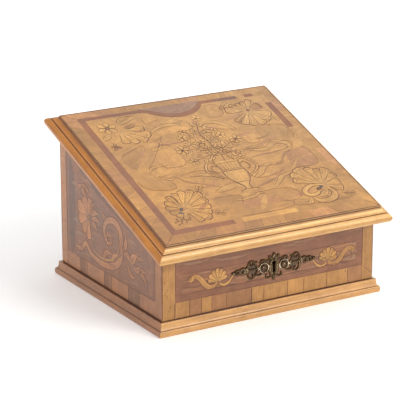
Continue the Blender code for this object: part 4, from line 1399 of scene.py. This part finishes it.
@dataclass
class FrontMarquetry(Marquetry):
    """Front wall: honey ends, crossbanded foot, dark frame and two shell scrolls beside the lock plate.

    The frame's middle is left open at hole, where the keyhole goes through.
    """

    top: float = 132.8
    panel: Sides = (-176.0, 179.0, 50.0, 105.0)
    inside: Sides = (-166.0, 168.0, 61.0, 94.0)
    hole: Sides = (0.0, 11.0, 66.0, 91.0)

    def lay(self) -> None:
        """Lay the ground and bands, then the scrolls and their lines."""
        figures, lines = self.sheets["figures"], self.lines
        self.bands()
        self.joints()
        figures.add(quad_grid([(144, 62), (167, 62), (166, 92), (146, 90)], 8, 8), SMOKE, 1.2, 80, 0.04,
                    figure=0.6)
        figures.add(quad_grid([(128, 80), (144, 84), (144, 92), (126, 92)], 4, 4), WALNUT, 1.3, 20, 0.04,
                    figure=0.6)
        lines.line(curve_through([(158, 84), (156, 76), (159, 70), (153, 66)], 14), 0.6)
        lines.line(curve_through([(92, 77), (98, 72), (104, 76), (110, 70), (117, 75), (122, 71)], 24), 0.5)
        self.scroll(-99.0, -1, 0.0)
        self.scroll(110.5, 1, -2.0)

    def bands(self) -> None:
        """The ground and its dark frame, with streaks in both, a foot of upright blocks and the two ends."""
        sheet = self.sheets["ground"]
        left, right, low, _ = self.panel
        start, end, sill, head = self.hole
        for sides in ((left, start, low, self.top), (end, right, low, self.top), (start, end, low, sill),
                      (start, end, head, self.top)):
            sheet.add(block_grid(sides, 24, 12), WALNUT, 1.0, 2, 0.01, figure=0.35)
        outer, inner = (((a, c), (b, c), (a, d), (b, d)) for a, b, c, d in (self.panel, self.inside))
        for k, m, tone in ((0, 1, 1.0), (2, 3, 0.98), (0, 2, 1.1), (1, 3, 1.02)):
            sheet.add(quad_grid([outer[k], outer[m], inner[m], inner[k]], 24, 3), PLUM, tone, 0, 0.02,
                      figure=0.2)
        sheet.add(rounded_grid([(98, 61), (167, 61), (167, 93.5), (104, 93.5)]), UMBER, 1.05, 4, 0.025)
        for sides in ((self.inside[0] + 2, start - 2, 62, 93), (end + 2, self.inside[1] - 2, 62, 93)):
            sheet.smears(sides, 45, (20, 80), (1.0, 3.6), (0.0, 3.0),
                         ((PLUM, 0.8), (SMOKE, 1.15), (WALNUT, 1.22), (WALNUT, 0.76),
                          (UMBER, 1.02)))
        sheet.smears((-174, 177, 106, 131), 40, (20, 80), (1.0, 3.6), (0.0, 3.0),
                     ((PLUM, 0.9), (SMOKE, 1.2), (WALNUT, 1.3)))
        sheet.smears((-174, 177, 51, 60), 26, (20, 60), (0.8, 2.4), (0.0, 1.0),
                     ((PLUM, 0.78), (PLUM, 1.15)))
        cuts = [-178, -151, -129, -110, -83, -36, -13, 32.5, 64, 109, 150, 180]
        tones = [0.92, 0.80, 0.95, 0.82, 0.74, 0.98, 0.90, 1.02, 0.88, 0.92, 0.78, 0.86]
        for cut, following, tone in zip(cuts, cuts[1:], tones):
            wood, strength = (HONEY, 0.93) if tone > 0.85 else (UMBER, 1.38)
            sheet.add(block_grid((cut, following, 12, low), 4, 6), wood, tone * strength, 90, 0.03)
            self.lines.line(np.linspace((cut, 23), (cut + 0.4, 49.8), 6), 0.9 if cut == -36 else 0.45)
        for x, edge, joint, tone in ((-200, left, left, 0.86), (right, 200, right, 0.79)):
            sheet.add(block_grid((x, edge, 12, self.top), 4, 14), HONEY, tone, 90, 0.04)
            self.lines.line(np.linspace((joint, 26), (joint, 118), 8), 0.4, 0.07)

    def joints(self) -> None:
        """Open joints between the bands, cracks, dirt and painted shade over the base, the shade round the
        plate and worm holes.
        """
        sheet, lines = self.sheets["ground"], self.lines
        lines.line(np.linspace((-176, 50.2), (179, 50.2), 30), 0.4)
        for x in (-176, 179):
            lines.line(np.linspace((x, 50), (x, 130), 16), 0.5)
        # Dirt and painted shade in the crease where the wall meets the base moulding
        lines.line(np.linspace((-199, 23.3), (199, 23.3), 60), 1.0, tone=0.7)
        for x in (-199.6, 199.6):
            lines.line(np.linspace((x, 24), (x, 124), 20), 0.45)
        for z in (61, 94):
            lines.line(np.linspace((-166, z), (168, z), 40), 0.4)
        for x, z, reach in ((-196, 84, 5), (-192, 60, 6), (-186, 42, 5), (-198, 104, 7), (186, 96, 8),
                            (184, 70, 6)):
            lines.line(np.linspace((x, z), (x + 1.0, z + reach), 5), 0.3)
        for spot, radii in (((-13.5, 79.4), (8.6, 8.2)), ((24.5, 79.4), (8.6, 8.2)), ((-34, 80), (9, 8.5)),
                            ((45, 80), (9, 8.5)), ((-55, 80.2), (11, 3.4)), ((66, 80.2), (11, 3.4)),
                            ((-6, 89), (6, 2.6)), ((17, 89), (6, 2.6))):
            sheet.disc(spot, radii, UMBER, 0.30, 0, 0.045, 0.0)
        for spot in ((-193, 70), (-190, 73.5), (-195, 66), (-188, 38), (190, 58), (92, 33), (-60, 40),
                     (146, 44)):
            sheet.disc(spot, (0.75, 0.75), INK, 0.5, 0, 0.09, 0.0)
        lines.line(np.linspace((179, 50), (197, 34), 6), 0.4)

    def scroll(self, middle: float, side: int, rise: float) -> None:
        """One shell flower with its tails, drawn for the left and mirrored by side.

        Args:
            middle: Where its flower is along the front.
            side: -1 for the left one, 1 for the mirrored one.
            rise: How far it is moved up.
        """
        sheet = self.sheets["figures"]

        def at(*points: Point) -> Path:
            """Carry points drawn for the left flower to this one."""
            return [(middle - side * (x + 99.0), z + rise) for x, z in points]

        tail = at((-149, 82), (-143, 86.5), (-136, 85), (-129, 79), (-123, 71), (-114, 64.5), (-104, 66),
                  (-100, 72))
        sheet.stroke(tail, (7.0, 9.5, 4.0), HONEY, 0.9, 0.06, 0.84)
        curl, knob, root = at((-147, 84), (-149, 85), (-99, 71))
        sheet.disc(curl, (6.6, 5.6), HONEY, 1.0, 20, 0.065)
        sheet.disc(knob, (3.0, 2.6), HONEY, 0.88, 20, 0.075)
        edges = [10, 36, 58, 80, 103, 126, 150, 176]
        if side > 0:
            edges = [180 - e for e in edges]
        sheet.fan(root, edges, [19, 21, 22, 23, 22, 21, 19], (0.80, 0.90, 0.77, 0.84), 0.16, PALE, 2.0, 0.07,
                  0.45)
        small = at((-96, 68), (-88, 64), (-79, 67), (-70, 77))
        sheet.stroke(small, (3.0, 5.0, 2.0), PALE, 0.86, 0.06, 0.9)


@dataclass
class BackMarquetry(Marquetry):
    """Plain back wall: quiet ground with honey ends and a banded foot."""

    top: float = 250.0

    def lay(self) -> None:
        """Lay leaves of ground side by side, then the ends, the foot and a dark line of dirt and painted shade
        over the base.
        """
        sheet, lines = self.sheets["ground"], self.lines
        for k in range(5):
            left = -178 + 71.2 * k
            sheet.add(block_grid((left, left + 71.2, 49, self.top), 8, 16), WALNUT, 1.0 + 0.05 * (k % 2),
                      88 + 2 * k, 0.01, figure=0.4)
            lines.line(np.linspace((left, 49), (left, self.top - 1), 12), 0.3)
        sheet.cross_banding((-178, 178, 23, self.top), (-168, 168, 59, self.top), PLUM, 90.0, 0.02, 0.05,
                            along=True)
        for left in (-200, 178):
            sheet.add(block_grid((left, left + 22, 12, self.top), 4, 16), HONEY, 0.86, 90, 0.05)
        for k in range(9):
            left = -178 + 39.55 * k
            sheet.add(block_grid((left, left + 39.55, 12, 49), 4, 6), HONEY, 0.82 + 0.1 * (k % 2), 90, 0.04)
            lines.line(np.linspace((left, 24), (left, 49), 6), 0.4)
        # Dirt and painted shade in the crease where the wall meets the base moulding
        lines.line(np.linspace((-199, 23.3), (199, 23.3), 60), 1.0, tone=0.7)


@dataclass
class SideMarquetry(Marquetry):
    """Side wall: russet ends, blocks at the foot, and a leafy scroll with a flower on a dark ground.

    It is drawn from back to front, and mirror is 1 or -1 to carry the drawing onto its wall.
    """

    mirror: int = 1
    half: float = 170.7

    def lay(self) -> None:
        """Lay the ground and bands, then the scroll and its lines."""
        self.bands()
        self.figures()

    def at(self, *points: Point) -> Path:
        """Carry points drawn from back to front onto this wall."""
        return [(self.mirror * s, z) for s, z in points]

    def rim(self, s: Array | float) -> Array | float:
        """Height of the wall's sloping rim, less a hair, at a place from back to front."""
        return SIZES.front_height + (SIZES.depth / 2 - s) * math.tan(SIZES.slope) - 0.2

    def upright(self, start: float, end: float, low: float, wood: Wood, tone: float, grain: float,
                lift: float, figure: float = 0.0) -> None:
        """A piece of ground from a level up to the rim.

        Args:
            start: Its place from back to front.
            end: Where it ends.
            low: The level.
            wood: Its veneer.
            tone: Its lightness.
            grain: Direction of its grain in degrees.
            lift: Height over the face.
            figure: How wild the grain is.
        """
        s = np.linspace(start, end, 20)[:, None]
        z = low + (self.rim(s) - low) * np.linspace(0, 1, 14)[None, :]
        grid = np.stack([np.broadcast_to(self.mirror * s, z.shape), z], -1)
        self.sheets["ground"].add(grid, wood, tone, grain, lift, figure=figure)

    def bands(self) -> None:
        """Ground under everything, a dark patch by the back and painted shade under the rim, plum stringing
        inside the ends, end bands and blocks at the foot.
        """
        sheet, at = self.sheets["ground"], self.at
        self.upright(-150, 149, 49, WALNUT, 1.02, 15 * self.mirror, 0.01, 0.8)
        # A darker patch just inside the back stringing, and painted shade along the sloping rim under the lid
        for corners in (at((-141, 50), (-124, 50), (-116, 130), (-122, 200), (-141, 222)),
                        at((-132, 232), (120, 143), (118, 128), (-60, 180), (-112, 206))):
            sheet.add(rounded_grid(corners), WALNUT, 0.66, 90, 0.028, figure=0.9)
        random = sheet.random
        woods = ((SMOKE, 1.05), (PLUM, 1.1), (WALNUT, 1.25), (WALNUT, 0.8), (SMOKE, 0.85))
        for k in range(70):
            start = random.uniform(-138, 105)
            end = start + random.uniform(18, 34)
            low = random.uniform(52, float(self.rim(end)) - 8)
            first, last = at((start, low), (end, low + random.uniform(-3, 6)))
            path = curve_through([first, ((first[0] + last[0]) / 2, low + 3), last], 8)
            sheet.add(ribbon_grid(path, swelling(8, 0.3, random.uniform(2, 6), 0.3), 3), *woods[k % 5],
                      lift=0.03 + 0.0003 * k, figure=0.7)
        for start, end, low, wood, tone, lift in ((-150, -141, 49, PLUM, 1.0, 0.02),
                                                  (141.5, 149, 49, PLUM, 0.95, 0.02),
                                                  (-self.half, -150, 12, RUSSET, 1.04, 0.06),
                                                  (149, self.half, 12, RUSSET, 0.80, 0.06)):
            self.upright(start, end, low, wood, tone, 90, lift)
        cuts = [-150, -104, -88, -78, -20, -8, 6, 62, 98, 149]
        tones = [1.0, 0.62, 0.8, 1.02, 0.62, 0.72, 1.0, 0.6, 1.0]
        for left, right, tone in zip(cuts, cuts[1:], tones):
            corners = at((left, 12), (right, 12), (right, 49.3), (left, 49.3))
            sheet.add(quad_grid(corners, 4, 6), RUSSET, tone * 0.92, 90, 0.05)
            self.engrave(6, (left, 23), (left, 49.5), 0.4)
        self.engrave(30, (-150, 49.3), (148.7, 49.3), 0.4)
        # Dirt and painted shade in the crease where the wall meets the base moulding
        self.engrave(51, (-170, 23.3), (171, 23.3), 1.0, 0.7)
        for s in (-170, -150, 149, 170):
            self.engrave(10, (s, 50), (s, float(self.rim(s)) - 6), 0.45)
        for z in (98, 211, 46):
            self.lines.line(np.array(at((-168, z), (-160, z + 0.4), (-151, z))), 0.4)

    def engrave(self, count: int, start: Point, end: Point, width: float, tone: float = 1.0) -> None:
        """Draw a straight line of count points on this wall."""
        self.lines.line(np.linspace(*self.at(start, end), count), width, tone=tone)

    def figures(self) -> None:
        """Scroll that runs along the foot and winds up, with leaves inside it and a flower at its start."""
        sheet, at = self.sheets["figures"], self.at
        stem = at((-93, 71), (-84, 80), (-76, 76), (-65, 67), (-43, 62), (-20, 61), (8, 66), (30, 78),
                  (40, 98), (40, 118), (34, 137), (14, 145), (-8, 139), (-18, 124), (-14, 108), (-2, 102),
                  (8, 108), (6, 118))
        sheet.stroke(stem, (8.0, 13.0, 3.0), RUSSET, 1.08, 0.06, 0.80, 0.45)
        light = at((-60, 76), (-46, 72), (-22, 70), (4, 76), (22, 90), (28, 104))
        sheet.stroke(light, (1.0, 3.0, 1.0), HONEY, 0.92, 0.075, ink=0.0)
        for base, tip, width, bend in (((24, 86), (32, 130), 14, -0.2), ((8, 72), (27, 90), 10, 0.2),
                                       ((-22, 68), (8, 86), 10, 0.25), ((42, 102), (54, 132), 12, -0.2),
                                       ((44, 100), (72, 88), 12, 0.2), ((70, 88), (92, 108), 17, 0.1),
                                       ((80, 84), (104, 96), 12, -0.2), ((92, 102), (112, 106), 8, 0.1),
                                       ((98, 92), (118, 88), 8, -0.1), ((-90, 72), (-120, 68), 9, 0.15),
                                       ((96, 80), (122, 66), 9, 0.2), ((-8, 142), (-26, 152), 10, 0.2),
                                       ((60, 84), (84, 68), 10, -0.2), ((-112, 162), (-88, 176), 8, 0.2),
                                       ((-100, 176), (-66, 164), 8, 0.2)):
            sheet.leaf(*at(base, tip), width, 1.07, self.mirror * bend, RUSSET, 0.065)
        for k in range(7):
            angle = 2 * math.pi * k / 7
            sheet.disc(*at(polar((-4, 110), 8, angle)), (4.6, 3.4), RUSSET, 1.1 + 0.06 * (k % 2),
                       math.degrees(angle) * self.mirror, 0.09, 0.35)
        heart, centre = at((-4, 110), (-70, 128))
        sheet.disc(heart, (3.0, 3.0), UMBER, 0.9, 0, 0.1)
        edges = [62, 100, 140, 178, 214, 250, 282]
        if self.mirror < 0:
            edges = [180 - e for e in edges]
        sheet.fan(centre, edges, [34, 36, 42, 38, 36, 38], (1.14, 1.03, 1.18), 0.2, RUSSET, 4.0, 0.065, 0.45)
        for base, tip in (((-62, 134), (-38, 142)), ((-60, 128), (-34, 128)), ((-62, 122), (-42, 112)),
                          ((-64, 138), (-52, 156)), ((-78, 162), (-96, 180))):
            sheet.leaf(*at(base, tip), 10, 1.1, 0.12, RUSSET, 0.07)
        sheet.disc(centre, (5.0, 4.0), UMBER, 0.9, 20, 0.09)


# Keyhole plate


@dataclass
class Escutcheon:
    """Pierced and cast keyhole plate: a height field over the outline of its solid.

    The rings and crosses lie on both sides of key, at their reaches along a level axis.
    """

    solid: bpy.types.Object
    step: float = 0.4
    key: Point = KEYHOLE
    ring_reach: float = 19.0
    ring_radius: float = 8.4
    cross_reach: float = 28.4
    axis: float = 79.2

    def outline(self) -> tuple[Array, float]:
        """Edges of the solid's back face.

        An edge that only one triangle of the back face has is on the outline or round an opening.

        Returns:
            The edges as pairs of (x, z) points in millimetres, and the back face's level.
        """
        mesh = self.solid.data
        mesh.calc_loop_triangles()
        corner = np.array([self.solid.matrix_world @ v.co for v in mesh.vertices]) / MM
        level = float(corner[:, 1].max())
        shape = corner[np.array([t.vertices[:] for t in mesh.loop_triangles])]
        back = np.all(shape[:, :, 1] > level - 0.01, axis=1)
        flat = np.round(shape[back][:, :, [0, 2]], 3)
        edges = np.concatenate([flat[:, [0, 1]], flat[:, [1, 2]], flat[:, [2, 0]]])
        first, last = edges[:, 0], edges[:, 1]
        swap = (first[:, 0] > last[:, 0]) | ((first[:, 0] == last[:, 0]) & (first[:, 1] > last[:, 1]))
        edges[swap] = edges[swap][:, ::-1]
        unique, times = np.unique(edges.reshape(-1, 4), axis=0, return_counts=True)
        return unique[times == 1].reshape(-1, 2, 2), level

    def distance(self, points: Array, edges: Array) -> tuple[Array, Array]:
        """How far points are from the outline, with the inside found by counting edges to their right.

        Args:
            points: Rows of (x, z).
            edges: The outline.

        Returns:
            The distance of each point, positive inside, and its nearest outline point.
        """
        best = np.full(len(points), np.inf)
        nearest = np.zeros_like(points)
        crossings = np.zeros(len(points), int)
        for start, end in edges:
            run = end - start
            share = np.clip(((points - start) @ run) / max(float(run @ run), 1e-12), 0, 1)
            foot = start + share[:, None] * run
            away = np.hypot(*(points - foot).T)
            closer = away < best
            best[closer], nearest[closer] = away[closer], foot[closer]
            above = (points[:, 1] < start[1]) != (points[:, 1] < end[1])
            meet = start[0] + (points[:, 1] - start[1]) * run[0] / (run[1] if run[1] else 1.0)
            crossings += above & (points[:, 0] < meet)
        return np.where(crossings % 2 == 1, best, -best), nearest

    def rims(self, x: Array, z: Array) -> Array:
        """How far places are on the two uneven rings or on the small crosses beyond them.

        Args:
            x: Places along the front in millimetres.
            z: Their heights.

        Returns:
            A share from 0 to 1 for each place.
        """
        rims = np.zeros_like(x)
        for side in (-1, 1):
            across, up = x - self.key[0] - side * self.ring_reach, (z - self.axis - 0.1) * 1.1
            radius, around = np.hypot(across, up), np.arctan2(up, across)
            uneven = 0.72 + 0.28 * np.sin(5 * around + 1.0 + side) * np.sin(2 * around + 0.6)
            off = (radius - self.ring_radius - 0.25 * np.sin(9 * around)) / 1.15
            rims = np.maximum(rims, uneven * np.exp(-off ** 2))
            tip = x - self.key[0] - side * self.cross_reach
            cross = np.abs(np.abs(z - self.axis) - np.abs(tip) * 0.9)
            rims = np.maximum(rims, np.exp(-(cross / 0.9) ** 2 - (np.hypot(tip, z - self.axis) / 5.0) ** 2))
        return rims

    def relief(self, x: Array, z: Array, depth: Array) -> tuple[Array, Array]:
        """Height over the back face, and how bright the metal is with wear and painted highlights.

        Height is a rounded edge on a 1 mm plate, a groove that follows the outline, the rims, flutes that
        spread from the keyhole, near and far, and a fine chasing. The high places are bright with wear, the
        rims carry a painted highlight too, and a painted glint lights a spot at the left end.

        Args:
            x: Places along the front in millimetres.
            z: Their heights.
            depth: How far they are inside the outline.

        Returns:
            Height in millimetres and a share from 0 to 1, for each place.
        """
        edge = np.clip(depth / 1.5, 0, 1)
        height = 1.0 + 0.95 * np.sqrt(1 - (1 - edge) ** 2)
        height -= 0.28 * np.exp(-((depth - 1.7) / 0.4) ** 2)
        rims = self.rims(x, z)
        height += 0.6 * rims * edge
        reach = np.hypot(x - self.key[0], z - self.key[1])
        turn = np.arctan2(z - self.key[1], x - self.key[0])
        height += 0.16 * np.sin(21 * turn + reach * 1.1) * np.clip((reach - 30) / 8, 0, 1) * edge
        height += 0.12 * np.sin(9 * turn) * np.exp(-((reach - 14) / 5) ** 2) * edge
        chased = 0.5 + 0.5 * np.sin(1.45 * x + 1.3 * np.sin(1.1 * z)) * np.sin(1.3 * z + 0.8)
        height += 0.35 * (chased - 0.5) * edge
        # Painted highlight along the rims, and wear on the high places
        bright = np.clip(np.maximum(rims * 1.35, (height - 1.5) * (0.25 + 1.15 * chased ** 3)), 0, 1)
        # A painted glint: a small bright spot at the plate's left end
        glint = np.exp(-(((x + 69) / 2.6) ** 2 + ((z - 79.5) / 1.6) ** 2))
        return height, np.clip(np.maximum(bright, glint), 0, 1)

    def build(self, material: Material) -> None:
        """Mesh the cells inside the outline, pull their edge onto it, and close the sides and the back.

        Args:
            material: The plate's finish. It reads the mesh's share of wear and painted highlight, which is
                below 0 where the metal is darkened just under the upper edges of its solid parts.
        """
        edges, level = self.outline()
        low, high = edges.reshape(-1, 2).min(0) - 1.0, edges.reshape(-1, 2).max(0) + 1.0
        x, z = np.meshgrid(*(np.arange(low[k], high[k], self.step) for k in (0, 1)))
        points = np.stack([x.ravel(), z.ravel()], -1)
        depth, nearest = self.distance(points, edges)
        index = np.arange(len(points)).reshape(x.shape)
        cells = np.stack([index[:-1, :-1], index[:-1, 1:], index[1:, 1:], index[1:, :-1]], -1).reshape(-1, 4)
        cells = cells[(depth[cells].mean(1) > 0) & (depth[cells].min(1) > -0.8 * self.step)]
        # Darker just under the upper edges of the solid parts, where the nearest outline point lies above
        below_edge = np.clip((nearest[:, 1] - points[:, 1]) / np.maximum(np.abs(depth), 0.05), 0, 1)
        edge_darkening = 0.6 * below_edge * np.exp(-(depth / 1.4) ** 2)
        close = depth < 0.3 * self.step
        points[close] = nearest[close]
        used, cells = np.unique(cells, return_inverse=True)
        cells = cells.reshape(-1, 4)
        x, z = points[used].T
        count = len(x)
        height, wear_and_highlight = self.relief(x, z, np.maximum(np.where(close, 0, depth)[used], 0))
        wear_and_highlight = wear_and_highlight * (1 - edge_darkening[used]) - edge_darkening[used]
        front, rear = (np.stack([x, y, z], -1) for y in (level - height, np.full(count, level)))
        sides = np.concatenate([cells[:, [k, (k + 1) % 4]] for k in range(4)])
        _, place, times = np.unique(np.sort(sides, axis=1), axis=0, return_index=True, return_counts=True)
        rim = sides[place[times == 1]]
        skirt = np.stack([rim[:, 1], rim[:, 0], rim[:, 0] + count, rim[:, 1] + count], -1)
        faces = np.concatenate([cells, cells[:, ::-1] + count, skirt])
        piece = make_piece("keyhole_plate_relief", np.concatenate([front, rear]) * MM, faces, material,
                           "case", None, {"wear_and_highlight": np.concatenate([wear_and_highlight, np.zeros(count)])}, 50.0)
        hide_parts("escutcheon")


# Studio


@dataclass(frozen=True)
class Studio:
    """Pale floor, soft lights and the camera of the photograph."""

    eye: tuple[float, float, float] = (-1.61523, -2.66528, 1.11186)
    yaw: float = 0.542
    pitch: float = 0.306
    lens_mm: float = 168.36
    floor_reach: float = 14.0
    aim: tuple[float, float, float] = (0.0, 0.0, 0.12)

    def build(self) -> None:
        """Make the camera, the floor, the lamps and the white surroundings."""
        camera = bpy.data.cameras.new("camera")
        camera.lens = self.lens_mm
        camera.sensor_width = 36.0
        turn = (math.pi / 2 - self.pitch, 0.0, -self.yaw)
        bpy.context.scene.camera = self.hold("camera", camera, self.eye, turn)
        self.floor()
        self.lamp("key_light", (1.3, -2.8, 2.0), 1.8, 66.0, (1.0, 0.97, 0.92))
        self.lamp("top_light", (0.7, 0.2, 2.8), 2.4, 12.0, (1.0, 0.98, 0.96))
        self.lamp("fill_light", (-3.0, -0.6, 0.9), 2.2, 26.0, (1.0, 0.97, 0.97))
        self.surround()
        bpy.context.scene.view_settings.view_transform = "Standard"

    def hold(self, name: str, data: object, place: tuple, turn: tuple) -> bpy.types.Object:
        """Put a camera, a lamp or a mesh into the scene.

        Args:
            name: Name of its object.
            data: What the object holds.
            place: Where it stands in metres.
            turn: Its turn in radians about X, Y and Z.

        Returns:
            The object.
        """
        holder = bpy.data.objects.new(name, data)
        holder.location = place
        holder.rotation_euler = turn
        bpy.context.collection.objects.link(holder)
        return holder

    def surround(self) -> None:
        """White surroundings: full white where the lens and the polish see them, and dimmer as light."""
        world = bpy.data.worlds.new("studio")
        world.use_nodes = True
        s = NodeSheet(world.node_tree)
        path = s.node("ShaderNodeLightPath").outputs
        way = s.node("ShaderNodeTexCoord").outputs["Generated"]
        side = s.node("ShaderNodeSeparateXYZ", {0: way}).outputs[0]
        seen = s.compute("MAXIMUM", path["Is Camera Ray"], s.times(path["Is Glossy Ray"], 0.8))
        dim = s.times(s.less(1.0, seen), s.remap(side, -0.8, 0.8, 0.42, 0.66))
        strength = s.plus(s.times(seen, 1.05), dim)
        s.feed(world.node_tree.nodes["Background"], {0: (1.0, 1.0, 1.0, 1.0), 1: strength})
        bpy.context.scene.world = world

    def floor(self) -> None:
        """A wide pale floor that glows a little more with its distance, to run into the white."""
        mesh = bpy.data.meshes.new("floor")
        reach = self.floor_reach
        corners = [(-reach, -reach, 0), (reach, -reach, 0), (reach, reach, 0), (-reach, reach, 0)]
        mesh.from_pydata(corners, [], [(0, 1, 2, 3)])
        material = bpy.data.materials.new("floor")
        material.use_nodes = True
        s = NodeSheet(material.node_tree)
        away = s.vector("LENGTH", s.place()).outputs["Value"]
        s.feed(material.node_tree.nodes["Principled BSDF"],
               {"Base Color": (0.92, 0.92, 0.92, 1.0), "Roughness": 0.9,
                "Emission Color": (1.0, 1.0, 1.0, 1.0),
                "Emission Strength": s.remap(away, 0.15, 1.2, 0.27, 0.5)})
        mesh.materials.append(material)
        floor = self.hold("floor", mesh, (0.0, 0.0, 0.0), (0.0, 0.0, 0.0))

    def lamp(self, name: str, place: tuple, size: float, power: float, colour: tuple) -> None:
        """A square soft lamp that faces the box.

        Args:
            name: Its name.
            place: Where it stands in metres.
            size: Its side in metres.
            power: Its power in watts.
            colour: Its linear colour.
        """
        light = bpy.data.lights.new(name, "AREA")
        light.size = size
        light.energy = power
        light.color = colour
        self.hold(name, light, place, (Vector(self.aim) - Vector(place)).to_track_quat("-Z", "Y").to_euler())


def dress_solids(finishes: Finishes) -> None:
    """Give every solid its own finish.

    Args:
        finishes: Where the finishes come from.
    """
    board = (150, 106, 66)
    across = finishes.plain("carcase_board_x", board, "x")
    lengthwise = finishes.plain("carcase_board_y", board, "y")
    side = finishes.plain("side_board", (146, 102, 64), "y")
    brass = finishes.metal("hinge_brass", (96, 70, 36), (176, 140, 84), 0.42)
    pin_brass = finishes.metal("pin_brass", (56, 44, 30), (150, 128, 90), 0.4)
    iron = finishes.metal("lock_iron", (58, 52, 48), (120, 112, 104), 0.55)
    pierced = finishes.plain("pierced_board", board, "x", KEYHOLE)
    choice = {"bottom_board": across, "front_panel": pierced, "back_panel": across, "left_side_panel": side,
              "right_side_panel": side, "lid_board": lengthwise, "lock_case": iron, "striking_plate": iron}
    for name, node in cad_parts.items():
        node.data.materials.clear()
        node.data.materials.append(pin_brass if name.startswith("escutcheon") else choice.get(name, brass))


def main() -> None:
    """Build every part in order and report it."""
    logging.basicConfig(level=logging.INFO, format="%(name)s %(message)s")
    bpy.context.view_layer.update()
    finishes = Finishes()
    dress_solids(finishes)
    veneer = finishes.veneer()
    LidMarquetry("lid", lid_frame(SIZES.lid_thickness), "lid",
                 {"ground": 3, "border": 4, "figures": 5, "lines": 6}, LID_BLEACH).build(veneer)
    FrontMarquetry("front", FRONT, "case", {"ground": 11, "figures": 12, "lines": 13}).build(veneer)
    BackMarquetry("back", BACK, "case", {"ground": 31, "lines": 32}).build(veneer)
    for name, face, mirror in (("left", LEFT, 1), ("right", RIGHT, -1)):
        seeds = {"ground": 21 + mirror, "figures": 24 + mirror, "lines": 27 + mirror}
        SideMarquetry(name, face, "case", seeds, mirror=mirror).build(veneer)
    # The back and left lengths take darker, more saturated woods that pale less than the front and right:
    # painted shade for the sides that face away from the key light
    honey = finishes.moulding("honey_moulding", (197, 147, 81))
    amber = finishes.moulding("amber_moulding", (182, 112, 26), 0.3)
    tan = finishes.moulding("tan_moulding", (184, 134, 75))
    brown = finishes.moulding("brown_moulding", (150, 96, 54), 0.6)
    MouldingFrame("lid_moulding", lid_section(), lid_frame(0.0), SIZES.lid_half_width, -SIZES.lid_front,
                  SIZES.slope_length + SIZES.lid_back,
                  "lid").lengths({"front": honey, "back": amber, "left": amber, "right": honey})
    MouldingFrame("base_moulding", base_section(), TABLE, SIZES.width / 2, -SIZES.depth / 2, SIZES.depth / 2,
                  "case").lengths({"front": tan, "back": brown, "left": brown, "right": tan})
    # The bright colour is the bare brass of wear and the cream of the painted highlights and glint
    plate = finishes.metal("plate_brass", (90, 71, 50), (232, 212, 180), 0.34, True)
    Escutcheon(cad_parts["escutcheon"]).build(plate)
    Studio().build()


if __name__ == "__main__":
    main()
